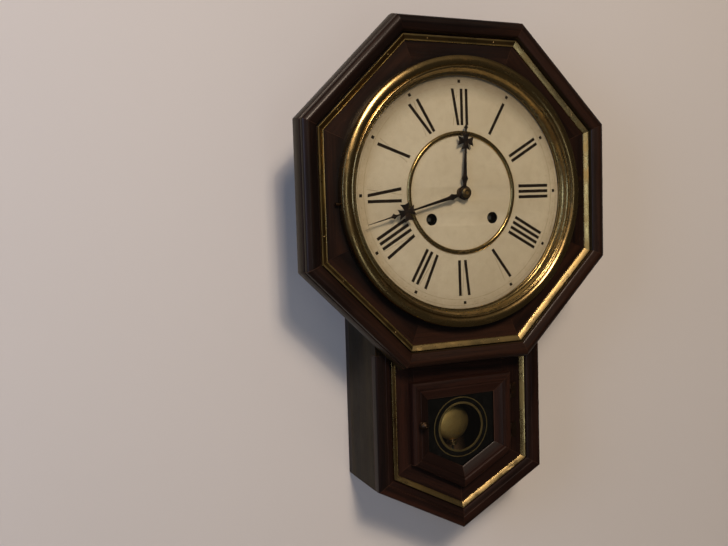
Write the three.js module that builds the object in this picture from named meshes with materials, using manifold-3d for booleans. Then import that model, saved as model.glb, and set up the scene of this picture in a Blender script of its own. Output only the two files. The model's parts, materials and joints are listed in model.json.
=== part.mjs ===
// Schoolhouse wall clock: a drop-octagon case with a time-and-strike movement.
//
// Millimetres, +Z up. The origin is on the back of the case, straight behind the
// centre of the dial; the back is the plane y = 0 and the dial faces -Y.
//
// Every piece is built in the clock's own face frame (x right, y up, z forward from
// the wall) and the whole group is then stood upright by one turn about X.

import * as THREE from 'three';
import { mergeVertices } from 'three/addons/utils/BufferGeometryUtils.js';
import Module from 'manifold-3d';

const wasm = await Module();
wasm.setup();

// ---------------------------------------------------------------- driving sizes

const GAP = 0.3;                      // left between pieces that touch

// Case carcass
const CASE_HALF_WIDTH = 85.2;
const CASE_TOP = 117;
const VEE_CORNER = -261.8;            // where the sides end and the V bottom starts
const VEE_TIP = -308.1;
const BACK_THICKNESS = 8;
const BOARD_THICKNESS = 9;
const HEAD_FRONT = 69;                // front edge of the carcass behind the octagon
const DROP_FRONT = 60;                // front edge of the carcass behind the drop front

// Octagon
const OCTAGON_APOTHEM = 153;
const OCTAGON_BACK = HEAD_FRONT + GAP;
const FIELD = 78.9;                   // flat front surface that the bezel lies on
const DIAL_OPENING = 104;
const MOVEMENT_OPENING = [[-72, -66], [72, -66], [72, 62], [-72, 62]];
const OCTAGON_BEAD_APOTHEM = 133.3;
const OCTAGON_BEAD_WIDTH = 5.4;

// Drop front, given as insets from the outline of the case
const DROP_TOP = -140;
const DROP_FIELD = 64.9;
const DROP_MOULDING_WIDTH = 16;
const DROP_BEAD_INSET = 18.5;
const DROP_BEAD_WIDTH = 4.6;
const DOOR_INSET = 33.7;
const DOOR_OPENING_INSET = 38.2;
const DOOR_SIGHT_INSET = 50.7;
const DOOR_TOP = -167;
const DOOR_BACK = DROP_FIELD + GAP;
const DOOR_FRONT = 72.2;

// Dial and hands
const DIAL_FRONT = 77.4;
const DIAL_RADIUS = 103.6;
const WINDING_X = 31;
const WINDING_Y = -22.7;
const WINDING_HOLE = 5.2;
const HOUR_HAND_ANGLE = 87.1;         // degrees from three o'clock, anticlockwise
const MINUTE_HAND_ANGLE = 195.1;

// Bezel
const BEZEL_RADIUS = 119;
const SIGHT_RADIUS = 102;

// Movement
const PLATE_THICKNESS = 2;
const BACK_PLATE = 14;
const FRONT_PLATE = 43;
const PIVOT_CLEARANCE = 0.3;
const BEAT_HEIGHT = 46;               // suspension point above the dial centre
const BOB_HEIGHT = -213;
const PENDULUM_PLANE = 50;

// Gear modules and arbor positions; each centre distance follows from its teeth
const GREAT_TEETH = 72;
const GREAT_PINION = 8;
const CENTRE_TEETH = 80;
const THIRD_PINION = 8;
const THIRD_TEETH = 84;
const ESCAPE_PINION = 7;
const ESCAPE_TEETH = 30;
const CANNON_TEETH = 12;
const MINUTE_TEETH = 36;
const MINUTE_PINION = 10;
const HOUR_TEETH = 40;
const PIN_WHEEL_TEETH = 48;
const FLY_PINION = 7;
const GREAT_MODULE = 2 * Math.hypot(WINDING_X, WINDING_Y) / (GREAT_TEETH + GREAT_PINION);
const CENTRE_MODULE = 0.7;
const THIRD_MODULE = 0.6;
const CANNON_MODULE = 0.75;
const MOTION_DISTANCE = CANNON_MODULE * (CANNON_TEETH + MINUTE_TEETH) / 2;
const HOUR_MODULE = 2 * MOTION_DISTANCE / (HOUR_TEETH + MINUTE_PINION);
const PIN_MODULE = 0.6;
const ESCAPE_RADIUS = 10;
const VERGE_DISTANCE = 14.1;

const CENTRE = new THREE.Vector2(0, 0);
const TIME_ARBOR = new THREE.Vector2(-WINDING_X, WINDING_Y);
const STRIKE_ARBOR = new THREE.Vector2(WINDING_X, WINDING_Y);
const VERGE_ARBOR = new THREE.Vector2(0, BEAT_HEIGHT);
const ESCAPE_ARBOR = new THREE.Vector2(0, BEAT_HEIGHT - VERGE_DISTANCE);
const THIRD_ARBOR = meetingPoint(CENTRE, CENTRE_MODULE * (CENTRE_TEETH + THIRD_PINION) / 2,
  ESCAPE_ARBOR, THIRD_MODULE * (THIRD_TEETH + ESCAPE_PINION) / 2);
const MINUTE_ARBOR = polar(CENTRE, MOTION_DISTANCE, 30);
const PIN_ARBOR = polar(STRIKE_ARBOR, GREAT_MODULE * (GREAT_TEETH + GREAT_PINION) / 2, 57.8);
const FLY_ARBOR = polar(PIN_ARBOR, PIN_MODULE * (PIN_WHEEL_TEETH + FLY_PINION) / 2, 110);
const HAMMER_ARBOR = new THREE.Vector2(44, -58);
const PILLARS = [[-61, -55], [61, -55], [60, 49], [-60, 49]];

// Gong
const GONG_CENTRE = new THREE.Vector2(-12, -122);
const GONG_OUTER = 31;
const GONG_INNER = 20;

// Segment counts
const LARGE_RING = 48;
const SMALL_ROUND = 10;

// ---------------------------------------------------------------- materials

const finish = (color, roughness, metalness) => ({ color, roughness, metalness });
const WALNUT = finish(0x35180f, 0.42, 0);
const RAW_WOOD = finish(0x6b4a30, 0.8, 0);
const BRASS = finish(0xb08d4a, 0.35, 1);
const PLATE_BRASS = finish(0xa98a4e, 0.4, 1);
const STEEL = finish(0x8c8e92, 0.35, 1);
const BLUED_STEEL = finish(0x1d1614, 0.4, 0.8);
const IRON = finish(0x2b2a29, 0.6, 0.7);
const DIAL_PAINT = finish(0xeadcc0, 0.6, 0);
const CLEAR_GLASS = { ...finish(0xdfe6e4, 0.05, 0), transparent: true, opacity: 0.3 };
const PAINTED_GLASS = finish(0x0c0a0a, 0.15, 0);

// ---------------------------------------------------------------- the assembly

const object = new THREE.Group();
const clock = new THREE.Group();
clock.rotation.x = Math.PI / 2;
object.add(clock);

function add(name, geometry, look) {
  const mesh = new THREE.Mesh(geometry, new THREE.MeshStandardMaterial(look));
  mesh.name = name;
  clock.add(mesh);
  return mesh;
}

// ---------------------------------------------------------------- geometry helpers

function polar(from, distance, degrees) {
  const angle = THREE.MathUtils.degToRad(degrees);
  return new THREE.Vector2(from.x + distance * Math.cos(angle), from.y + distance * Math.sin(angle));
}

// The left-hand point that is radiusA from a and radiusB from b, b straight above a.
function meetingPoint(a, radiusA, b, radiusB) {
  const span = b.y - a.y;
  const height = (radiusA ** 2 - radiusB ** 2 + span ** 2) / (2 * span);
  return new THREE.Vector2(a.x - Math.sqrt(radiusA ** 2 - height ** 2), a.y + height);
}

function toSolid(geometry) {
  const bare = geometry.clone();
  bare.deleteAttribute('normal');
  bare.deleteAttribute('uv');
  const merged = mergeVertices(bare, 1e-4);
  const corners = merged.index.array;
  const kept = [];
  for (let i = 0; i < corners.length; i += 3) {
    const [a, b, c] = corners.slice(i, i + 3);
    if (a !== b && b !== c && c !== a) kept.push(a, b, c);
  }
  const mesh = new wasm.Mesh({
    numProp: 3,
    vertProperties: merged.attributes.position.array,
    triVerts: new Uint32Array(kept),
  });
  return new wasm.Manifold(mesh);
}

function toGeometry(solid) {
  const mesh = solid.getMesh();
  const geometry = new THREE.BufferGeometry();
  geometry.setAttribute('position', new THREE.BufferAttribute(mesh.vertProperties, 3));
  geometry.setIndex(new THREE.BufferAttribute(mesh.triVerts, 1));
  geometry.computeVertexNormals();
  return geometry;
}

function join(...geometries) {
  return toGeometry(geometries.map(toSolid).reduce((whole, piece) => whole.add(piece)));
}

function cut(geometry, ...tools) {
  return toGeometry(tools.map(toSolid).reduce((rest, tool) => rest.subtract(tool), toSolid(geometry)));
}

function shapeOf(points, ...holes) {
  const shape = new THREE.Shape(points.map(([x, y]) => new THREE.Vector2(x, y)));
  for (const hole of holes) {
    shape.holes.push(new THREE.Path(hole.map(([x, y]) => new THREE.Vector2(x, y))));
  }
  return shape;
}

// A flat piece whose outline lies in the face plane, between two distances from the wall.
function plate(shape, back, front) {
  const geometry = new THREE.ExtrudeGeometry(shape, { depth: front - back, bevelEnabled: false });
  return geometry.translate(0, 0, back);
}

function box(x0, x1, y0, y1, back, front) {
  const geometry = new THREE.BoxGeometry(x1 - x0, y1 - y0, front - back);
  return geometry.translate((x0 + x1) / 2, (y0 + y1) / 2, (back + front) / 2);
}

// A round bar along the forward axis.
function rod(at, radius, back, front, sides = SMALL_ROUND) {
  const geometry = new THREE.CylinderGeometry(radius, radius, front - back, sides);
  return geometry.rotateX(Math.PI / 2).translate(at.x, at.y, (back + front) / 2);
}

// A round bar standing upright.
function post(x, forward, radius, bottom, top, sides = SMALL_ROUND) {
  const geometry = new THREE.CylinderGeometry(radius, radius, top - bottom, sides);
  return geometry.translate(x, (bottom + top) / 2, forward);
}

// A turned piece: its section is a list of [radius, distance from the wall], taken
// anticlockwise, and its axis is the forward axis.
function turned(section, segments = LARGE_RING, start = 0, at = CENTRE) {
  const points = section.map(([radius, forward]) => new THREE.Vector2(radius, forward));
  const geometry = new THREE.LatheGeometry(points, segments, start);
  return geometry.rotateX(Math.PI / 2).translate(at.x, at.y, 0);
}

const closed = (section) => [...section, section[0]];

// A mitred octagonal moulding is turned in eight segments, so its section is given
// by apothem and widened to the corners.
function octagonal(section) {
  const corner = 1 / Math.cos(Math.PI / 8);
  return turned(closed(section).map(([apothem, forward]) => [apothem * corner, forward]), 8, Math.PI / 8);
}

function octagonPoints(apothem) {
  const radius = apothem / Math.cos(Math.PI / 8);
  const points = [];
  for (let i = 0; i < 8; i += 1) {
    const angle = Math.PI / 8 + i * Math.PI / 4;
    points.push([radius * Math.cos(angle), radius * Math.sin(angle)]);
  }
  return points;
}

function circlePoints(at, radius, count = SMALL_ROUND) {
  const points = [];
  for (let i = 0; i < count; i += 1) {
    const angle = 2 * Math.PI * i / count;
    points.push([at.x + radius * Math.cos(angle), at.y + radius * Math.sin(angle)]);
  }
  return points;
}

// ---------------------------------------------------------------- the V-bottomed outline

const VEE_ANGLE = Math.atan((VEE_CORNER - VEE_TIP) / CASE_HALF_WIDTH);

// The outline of the case, moved inwards by an inset, with a flat top.
function dropPoints(inset, top) {
  const half = CASE_HALF_WIDTH - inset;
  const tip = VEE_TIP + inset / Math.cos(VEE_ANGLE);
  const corner = tip + half * Math.tan(VEE_ANGLE);
  return [[half, top], [-half, top], [-half, corner], [0, tip], [half, corner]];
}

// A band along the two sides and the V, open at the top.
function dropBand(outerInset, innerInset, top) {
  const outer = dropPoints(outerInset, top);
  const inner = dropPoints(innerInset, top);
  return shapeOf([
    outer[0], inner[0], inner[4], inner[3], inner[2], inner[1],
    outer[1], outer[2], outer[3], outer[4],
  ]);
}

// ---------------------------------------------------------------- gears

// Straight-sided teeth: a tip and a root for each tooth, the first tip at `phase`.
function gearPoints(at, teeth, module, phase) {
  const pitch = teeth * module / 2;
  const points = [];
  for (let i = 0; i < teeth; i += 1) {
    const tip = phase + 2 * Math.PI * i / teeth;
    const root = tip + Math.PI / teeth;
    points.push([at.x + (pitch + 0.9 * module) * Math.cos(tip), at.y + (pitch + 0.9 * module) * Math.sin(tip)]);
    points.push([at.x + (pitch - 1.3 * module) * Math.cos(root), at.y + (pitch - 1.3 * module) * Math.sin(root)]);
  }
  return points;
}

const directionTo = (from, to) => Math.atan2(to.y - from.y, to.x - from.x);

// A wheel has a tooth on the line to its partner and the partner has a gap there.
function drivingGear(at, partner, teeth, module, back, front) {
  return plate(shapeOf(gearPoints(at, teeth, module, directionTo(at, partner))), back, front);
}

function drivenGear(at, partner, teeth, module, back, front) {
  const phase = directionTo(at, partner) - Math.PI / teeth;
  return plate(shapeOf(gearPoints(at, teeth, module, phase)), back, front);
}

// ---------------------------------------------------------------- case carcass

function caseParts() {
  const front = BACK_THICKNESS + GAP;
  const inner = CASE_HALF_WIDTH - BOARD_THICKNESS;
  const hangerSeat = box(-21.3, 21.3, 82.7, 107.3, -1, 2.3);
  const screwWell = box(-6.5, 6.5, 84, 105, 1, 6.5);
  const back = plate(shapeOf(dropPoints(0, CASE_TOP)), 0, BACK_THICKNESS);
  add('back_board', cut(back, hangerSeat, screwWell), RAW_WOOD);

  const hangerHole = rod(new THREE.Vector2(0, 91), 5, -1, 3, 16);
  const hangerSlot = box(-2.6, 2.6, 91, 102, -1, 3);
  const hanger = box(-21, 21, 83, 107, 0, 2);
  add('hanger_plate', cut(hanger, join(hangerHole, hangerSlot)), BRASS);

  // The sides are deeper behind the octagon than behind the drop front.
  const sideShape = shapeOf([
    [-front, VEE_CORNER], [-DROP_FRONT, VEE_CORNER], [-DROP_FRONT, DROP_TOP + GAP],
    [-HEAD_FRONT, DROP_TOP + GAP], [-HEAD_FRONT, CASE_TOP], [-front, CASE_TOP],
  ]);
  for (const [name, x] of [['case_side_left', -CASE_HALF_WIDTH], ['case_side_right', inner]]) {
    const side = new THREE.ExtrudeGeometry(sideShape, { depth: BOARD_THICKNESS, bevelEnabled: false });
    add(name, side.rotateY(Math.PI / 2).translate(x, 0, 0), WALNUT);
  }
  const between = inner - GAP;
  add('case_top', box(-between, between, CASE_TOP - BOARD_THICKNESS, CASE_TOP, front, HEAD_FRONT), WALNUT);

  const slope = Math.tan(VEE_ANGLE);
  const rise = BOARD_THICKNESS / Math.cos(VEE_ANGLE);
  const middle = GAP / 2;
  const top = VEE_CORNER - GAP;
  const bottomBoard = (side) => plate(shapeOf([
    [side * CASE_HALF_WIDTH, top], [side * middle, VEE_TIP], [side * middle, VEE_TIP + rise],
    [side * between, VEE_TIP + rise + between * slope], [side * between, top],
  ]), front, DROP_FRONT);
  add('case_bottom_left', bottomBoard(-1), WALNUT);
  add('case_bottom_right', bottomBoard(1), WALNUT);
}

// ---------------------------------------------------------------- octagon

function octagonParts() {
  const board = plate(shapeOf(octagonPoints(OCTAGON_APOTHEM), MOVEMENT_OPENING), OCTAGON_BACK, FIELD);
  const rebate = turned([[0, 75.5], [DIAL_OPENING, 75.5], [DIAL_OPENING, FIELD + 1], [0, FIELD + 1]]);
  add('octagon_board', cut(board, rebate), WALNUT);

  const seat = FIELD + GAP;
  add('octagon_moulding', octagonal([
    [152.4, seat], [152.4, 82.2], [151.9, 84.2], [150.9, 85.7], [149.4, 86.4], [147.6, 86.1],
    [145.4, 84.7], [141, 82.6], [136.5, 81.7], [136.5, seat],
  ]), WALNUT);

  const half = OCTAGON_BEAD_WIDTH / 2;
  const bead = [];
  for (let i = 0; i <= 6; i += 1) {
    const angle = Math.PI * i / 6;
    bead.push([OCTAGON_BEAD_APOTHEM + half * Math.cos(angle), seat + half * Math.sin(angle)]);
  }
  add('octagon_bead', octagonal(bead), BRASS);
}

// ---------------------------------------------------------------- drop front

function dropParts() {
  const opening = dropPoints(DOOR_OPENING_INSET, DOOR_TOP - 4.5);
  add('drop_panel', plate(shapeOf(dropPoints(0, DROP_TOP), opening), DROP_FRONT + GAP, DROP_FIELD), WALNUT);

  // The moulding steps up from the bead to a flat and falls away at the outer edge.
  const seat = DROP_FIELD + GAP;
  const lower = plate(dropBand(0, DROP_MOULDING_WIDTH, DROP_TOP), seat, 67.6);
  const upper = plate(dropBand(1.4, DROP_MOULDING_WIDTH - 3, DROP_TOP), 67, HEAD_FRONT);
  add('drop_moulding', join(lower, upper), WALNUT);

  const half = DROP_BEAD_WIDTH / 2;
  const bead = join(
    plate(dropBand(DROP_BEAD_INSET - half, DROP_BEAD_INSET + half, DROP_TOP), seat, seat + 1.2),
    plate(dropBand(DROP_BEAD_INSET - 0.6 * half, DROP_BEAD_INSET + 0.6 * half, DROP_TOP), seat + 1, seat + 2.2),
  );
  add('drop_bead', bead, BRASS);
}

// ---------------------------------------------------------------- drop door

const DOOR_PIN_X = CASE_HALF_WIDTH - DOOR_INSET + 2;
const DOOR_PIN_FORWARD = 67;
const DOOR_KNOB = new THREE.Vector2(-43, -205);
const BARREL = 1.7;
const PIN = 0.8;

// Half of a hinge: its barrel is cut into knuckles, given as [bottom, top] pairs.
function knuckles(x, forward, spans) {
  return spans.map(([bottom, top]) => post(x, forward, BARREL, bottom, top));
}

function doorParts() {
  const body = plate(shapeOf(dropPoints(DOOR_INSET, DOOR_TOP), dropPoints(DOOR_SIGHT_INSET, DOOR_TOP - 11.6)),
    DOOR_BACK, 70.4);
  const face = plate(shapeOf(dropPoints(DOOR_INSET + 2, DOOR_TOP - 2),
    dropPoints(DOOR_SIGHT_INSET - 2, DOOR_TOP - 9.6)), 70, DOOR_FRONT);
  const rebate = plate(shapeOf(dropPoints(DOOR_SIGHT_INSET - 3.8, DOOR_TOP - 8)), DOOR_BACK - 1, 67.8);
  const stemHole = rod(DOOR_KNOB, 1.9, 60, 80);
  add('door_frame', cut(join(body, face), rebate, stemHole), WALNUT);
  add('door_glass', plate(shapeOf(dropPoints(DOOR_SIGHT_INSET - 3.5, DOOR_TOP - 8.3)), 65.8, 67.5), PAINTED_GLASS);

  const knob = turned([[0, 57.9], [2.4, 57.9], [2.4, 59.8], [1.5, 59.8], [1.5, 72.6], [2.2, 72.6], [1.9, 74.2],
    [3.6, 75.6], [4.2, 77.2], [3.7, 78.8], [2, 79.9], [0, 80.2]], 16, 0, DOOR_KNOB);
  const blade = box(DOOR_KNOB.x - 2, DOOR_KNOB.x + 2, DOOR_KNOB.y - 7.8, DOOR_KNOB.y, 57.9, 59.8);
  add('door_knob', join(knob, blade), BRASS);

  for (const [name, height] of [['upper', -186], ['lower', -224]]) {
    const fixed = join(
      box(DOOR_PIN_X, DOOR_PIN_X + 7.2, height - 7, height + 7, DOOR_BACK, DOOR_BACK + 0.8),
      post(DOOR_PIN_X, DOOR_PIN_FORWARD, PIN, height - 7.4, height + 7.4),
      ...knuckles(DOOR_PIN_X, DOOR_PIN_FORWARD, [[height - 7, height - 2.5], [height + 2.5, height + 7]]),
    );
    const clearance = box(DOOR_PIN_X - 3, DOOR_PIN_X + 2.2, height - 2.5, height + 2.5, 64, 66.6);
    add(`door_hinge_${name}`, cut(fixed, clearance), BRASS);
    const leaf = join(
      box(DOOR_PIN_X - BARREL, DOOR_PIN_X - 0.9, height - 2.2, height + 2.2, DOOR_PIN_FORWARD, 71),
      ...knuckles(DOOR_PIN_X, DOOR_PIN_FORWARD, [[height - 2.2, height + 2.2]]),
    );
    const bore = post(DOOR_PIN_X, DOOR_PIN_FORWARD, PIN + 0.25, height - 4, height + 4);
    add(`door_leaf_${name}`, cut(leaf, bore), BRASS);
  }
}

// ---------------------------------------------------------------- dial

function dialParts() {
  const face = plate(shapeOf(
    circlePoints(CENTRE, DIAL_RADIUS, LARGE_RING),
    circlePoints(CENTRE, 5.4, 16),
    circlePoints(TIME_ARBOR, WINDING_HOLE, 16),
    circlePoints(STRIKE_ARBOR, WINDING_HOLE, 16),
  ), DIAL_FRONT - 1.4, DIAL_FRONT);
  add('dial', face, DIAL_PAINT);
  const low = DIAL_FRONT + GAP;
  add('dial_ring', turned(closed([
    [54.8, low], [54, low + 1.2], [52.7, low + 1.6], [51.4, low + 1.2], [50.6, low],
  ])), BRASS);
}

// ---------------------------------------------------------------- bezel

const BEZEL_PIN_X = 122.4;
const BEZEL_PIN_FORWARD = 81;

function bezelParts() {
  const seat = FIELD + GAP;
  const shell = turned(closed([
    [BEZEL_RADIUS, seat], [BEZEL_RADIUS, 84.4], [118, 85.4], [114.2, 85.3], [113.5, 84.5], [113, 87.4],
    [111.8, 89.2], [110.2, 89.8], [107.8, 89.1], [110.2, 88.9], [111.6, 83], [116.9, 83.6], [117.6, seat],
  ]));
  add('bezel', shell, BRASS);
  add('bezel_glass', turned([[0, 87], [109.4, 87], [109.4, 88.6], [0, 88.6]]), CLEAR_GLASS);

  // The sight ring slopes from the back of the glass down to the edge of the dial.
  add('sight_ring', turned(closed([
    [SIGHT_RADIUS + 0.9, 79.4], [109.6, 86.2], [109.6, 86.7], [108.5, 86.7], [SIGHT_RADIUS, 80.1],
    [SIGHT_RADIUS, 79.4],
  ])), BRASS);

  const pull = new THREE.CylinderGeometry(1.5, 1.1, 3.4, SMALL_ROUND).rotateZ(Math.PI / 2);
  add('bezel_pull', pull.translate(-120.9, -7.5, 81.9), BRASS);

  const hinge = join(
    box(BEZEL_PIN_X, 130, -14, 14, seat, seat + 0.8),
    post(BEZEL_PIN_X, BEZEL_PIN_FORWARD, PIN, -14.4, 14.4),
    ...knuckles(BEZEL_PIN_X, BEZEL_PIN_FORWARD, [[-14, -5], [5, 14]]),
  );
  const clearance = box(BEZEL_PIN_X - 3, BEZEL_PIN_X + 2.2, -5, 5, 78, 80.1);
  add('bezel_hinge', cut(hinge, clearance), BRASS);
  const leaf = join(
    box(BEZEL_RADIUS + GAP, BEZEL_PIN_X - 0.9, -4.7, 4.7, 80.4, 83.6),
    ...knuckles(BEZEL_PIN_X, BEZEL_PIN_FORWARD, [[-4.7, 4.7]]),
  );
  add('bezel_leaf', cut(leaf, post(BEZEL_PIN_X, BEZEL_PIN_FORWARD, PIN + 0.25, -6, 6)), BRASS);
}

// ---------------------------------------------------------------- movement frame

function movementFrame() {
  const outline = [[-68, -62], [68, -62], [68, 50], [60, 58], [-60, 58], [-68, 50]];
  const pivots = [
    [CENTRE, 1.5], [THIRD_ARBOR, 1.2], [ESCAPE_ARBOR, 1.2], [VERGE_ARBOR, 1.2], [TIME_ARBOR, 2.5],
    [STRIKE_ARBOR, 2.5], [PIN_ARBOR, 1.2], [FLY_ARBOR, 1.2], [HAMMER_ARBOR, 1.2],
  ].map(([at, radius]) => circlePoints(at, radius + PIVOT_CLEARANCE, 8));
  const pillarHoles = PILLARS.map(([x, y]) => circlePoints({ x, y }, 3.9));
  add('movement_back_plate', plate(shapeOf(outline, ...pivots, ...pillarHoles),
    BACK_PLATE, BACK_PLATE + PLATE_THICKNESS), PLATE_BRASS);
  const stud = rod(MINUTE_ARBOR, 1.2, FRONT_PLATE + 1, 66);
  add('movement_front_plate', join(plate(shapeOf(outline, ...pivots),
    FRONT_PLATE, FRONT_PLATE + PLATE_THICKNESS), stud), PLATE_BRASS);
  PILLARS.forEach(([x, y], i) => {
    const pillar = rod({ x, y }, 3.5, BACK_THICKNESS + GAP, FRONT_PLATE - GAP);
    add(`movement_pillar_${i + 1}`, pillar, PLATE_BRASS);
  });
}

// ---------------------------------------------------------------- going train

// A spring barrel with its great wheel, hollow for the winding arbor.
function barrel(at, partner, wheelBack, drumBack, drumFront) {
  const wheel = drivingGear(at, partner, GREAT_TEETH, GREAT_MODULE, wheelBack, wheelBack + 2);
  const drum = rod(at, 24, Math.min(wheelBack + 1, drumBack), Math.max(wheelBack + 1, drumFront), 24);
  return cut(join(wheel, drum), rod(at, 2.5 + PIVOT_CLEARANCE, 0, 60));
}

// A winding arbor with a square end for the key.
function windingArbor(at) {
  const square = box(at.x - 1.7, at.x + 1.7, at.y - 1.7, at.y + 1.7, 56, 72.5);
  const ratchet = rod(at, 6, 47, 48.6, 16);
  return join(rod(at, 2.5, 12, 60), ratchet, square);
}

// An arbor with its thin pivots running in the plates.
function arbor(at, back = 12.5, front = 45.8) {
  return rod(at, 1.2, back, front, 8);
}

function goingTrain() {
  add('time_barrel', barrel(TIME_ARBOR, CENTRE, 22, 24, 34), PLATE_BRASS);
  add('time_winding_arbor', windingArbor(TIME_ARBOR), STEEL);
  add('centre_wheel', join(
    rod(CENTRE, 1.5, 12, 86.2),
    drivenGear(CENTRE, TIME_ARBOR, GREAT_PINION, GREAT_MODULE, 20.5, 25.5),
    drivingGear(CENTRE, THIRD_ARBOR, CENTRE_TEETH, CENTRE_MODULE, 39, 41),
  ), PLATE_BRASS);
  add('third_wheel', join(
    arbor(THIRD_ARBOR),
    drivenGear(THIRD_ARBOR, CENTRE, THIRD_PINION, CENTRE_MODULE, 38, 42),
    drivingGear(THIRD_ARBOR, ESCAPE_ARBOR, THIRD_TEETH, THIRD_MODULE, 18, 20),
  ), PLATE_BRASS);

  // Escape wheel: pointed teeth that lean in the direction of turning.
  const teeth = [];
  for (let i = 0; i < ESCAPE_TEETH; i += 1) {
    const angle = 2 * Math.PI * i / ESCAPE_TEETH;
    const lean = angle + 1.7 * Math.PI / ESCAPE_TEETH;
    teeth.push([ESCAPE_ARBOR.x + ESCAPE_RADIUS * Math.cos(angle), ESCAPE_ARBOR.y + ESCAPE_RADIUS * Math.sin(angle)]);
    teeth.push([ESCAPE_ARBOR.x + 8 * Math.cos(lean), ESCAPE_ARBOR.y + 8 * Math.sin(lean)]);
  }
  add('escape_wheel', join(
    arbor(ESCAPE_ARBOR),
    drivenGear(ESCAPE_ARBOR, THIRD_ARBOR, ESCAPE_PINION, THIRD_MODULE, 17, 21),
    plate(shapeOf(teeth), 27, 28.6),
  ), PLATE_BRASS);

  // Verge: the pallets spread over the escape wheel and the crutch forks round the rod.
  const pallets = shapeOf([
    [-10.4, -7], [-9.6, -3], [-3, 3], [3, 3], [9.6, -3], [10.4, -7],
    [9, -6.4], [7.4, -3.6], [2.4, -1.6], [-2.4, -1.6], [-7.4, -3.6], [-9, -6.4],
  ].map(([x, y]) => [x, BEAT_HEIGHT + y]));
  const prong = (x) => rod({ x, y: 21 }, 0.7, 46.4, 52, 8);
  add('verge', join(
    arbor(VERGE_ARBOR, 12.5, 47.4),
    plate(pallets, 27, 28.6),
    box(-1.5, 1.5, 19.6, BEAT_HEIGHT + 1.5, 46.2, 47.4),
    box(-3.2, 3.2, 19.6, 22.4, 46.2, 47.4),
    prong(-2.3),
    prong(2.3),
  ), STEEL);
}

// ---------------------------------------------------------------- motion work

function motionWork() {
  add('cannon_pinion', cut(
    join(rod(CENTRE, 3, 52.6, 84.7, 16), drivingGear(CENTRE, MINUTE_ARBOR, CANNON_TEETH, CANNON_MODULE, 53, 57)),
    rod(CENTRE, 1.8, 50, 90, 16),
  ), PLATE_BRASS);
  add('minute_wheel', cut(
    join(
      rod(MINUTE_ARBOR, 2.2, 53.6, 64),
      drivenGear(MINUTE_ARBOR, CENTRE, MINUTE_TEETH, CANNON_MODULE, 54, 56),
      drivingGear(MINUTE_ARBOR, CENTRE, MINUTE_PINION, HOUR_MODULE, 58.6, 63),
    ),
    rod(MINUTE_ARBOR, 1.5, 50, 70),
  ), PLATE_BRASS);
  add('hour_wheel', cut(
    join(
      rod(CENTRE, 4.7, 59.4, 82, 16),
      drivenGear(CENTRE, MINUTE_ARBOR, HOUR_TEETH, HOUR_MODULE, 60, 62),
    ),
    rod(CENTRE, 3.3, 50, 90, 16),
  ), PLATE_BRASS);
}

// ---------------------------------------------------------------- hands

// A cross with four splayed arms, centred `along` the hand.
function splayedCross(along, size) {
  const waist = size * 0.16;
  const points = [];
  for (let i = 0; i < 4; i += 1) {
    const angle = i * Math.PI / 2;
    const ux = Math.cos(angle);
    const uy = Math.sin(angle);
    points.push([along + size * ux + 0.55 * size * uy, size * uy - 0.55 * size * ux]);
    points.push([along + 0.72 * size * ux, 0.72 * size * uy]);
    points.push([along + size * ux - 0.55 * size * uy, size * uy + 0.55 * size * ux]);
    points.push([along + waist * (ux - uy), waist * (ux + uy)]);
  }
  return points;
}

// Hands are drawn pointing along +x from the hub and then turned to their angle.
function hand(outlines, hubRadius, boreRadius, back, degrees) {
  const thickness = 0.9;
  const blades = outlines.map((points) => plate(shapeOf(points), back, back + thickness));
  const hub = rod(CENTRE, hubRadius, back - 0.8, back + thickness, 20);
  const whole = cut(join(...blades, hub), rod(CENTRE, boreRadius, 60, 100, 20));
  return whole.rotateZ(THREE.MathUtils.degToRad(degrees));
}

const taper = (from, to, halfFrom, halfTo) => [[from, -halfFrom], [to, -halfTo], [to, halfTo], [from, halfFrom]];
const diamond = (at, long, half) => [[at - long, 0], [at, -half], [at + long, 0], [at, half]];

function hands() {
  add('hour_hand', hand([
    taper(4, 40, 1.7, 1), diamond(13, 5, 3.1), splayedCross(45.5, 7.7), taper(45, 57, 1.1, 0.8),
    diamond(57.5, 4.5, 2.1),
  ], 6.6, 5, 81.6, HOUR_HAND_ANGLE), BLUED_STEEL);
  add('minute_hand', hand([
    taper(3, 58, 1.6, 1), diamond(14.5, 5, 3.1), splayedCross(61, 8), taper(61, 73, 1, 0.7),
    diamond(73, 3.2, 2.5), taper(73, 98, 0.7, 0.3),
  ], 5.4, 3.3, 83.9, MINUTE_HAND_ANGLE), BLUED_STEEL);
  add('hand_nut', cut(
    turned([[0, 85.1], [4.6, 85.1], [4.4, 85.6], [3, 86.5], [0, 86.7]], 20),
    rod(CENTRE, 1.8, 80, 90, 16),
  ), BRASS);
}

// ---------------------------------------------------------------- pendulum

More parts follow.
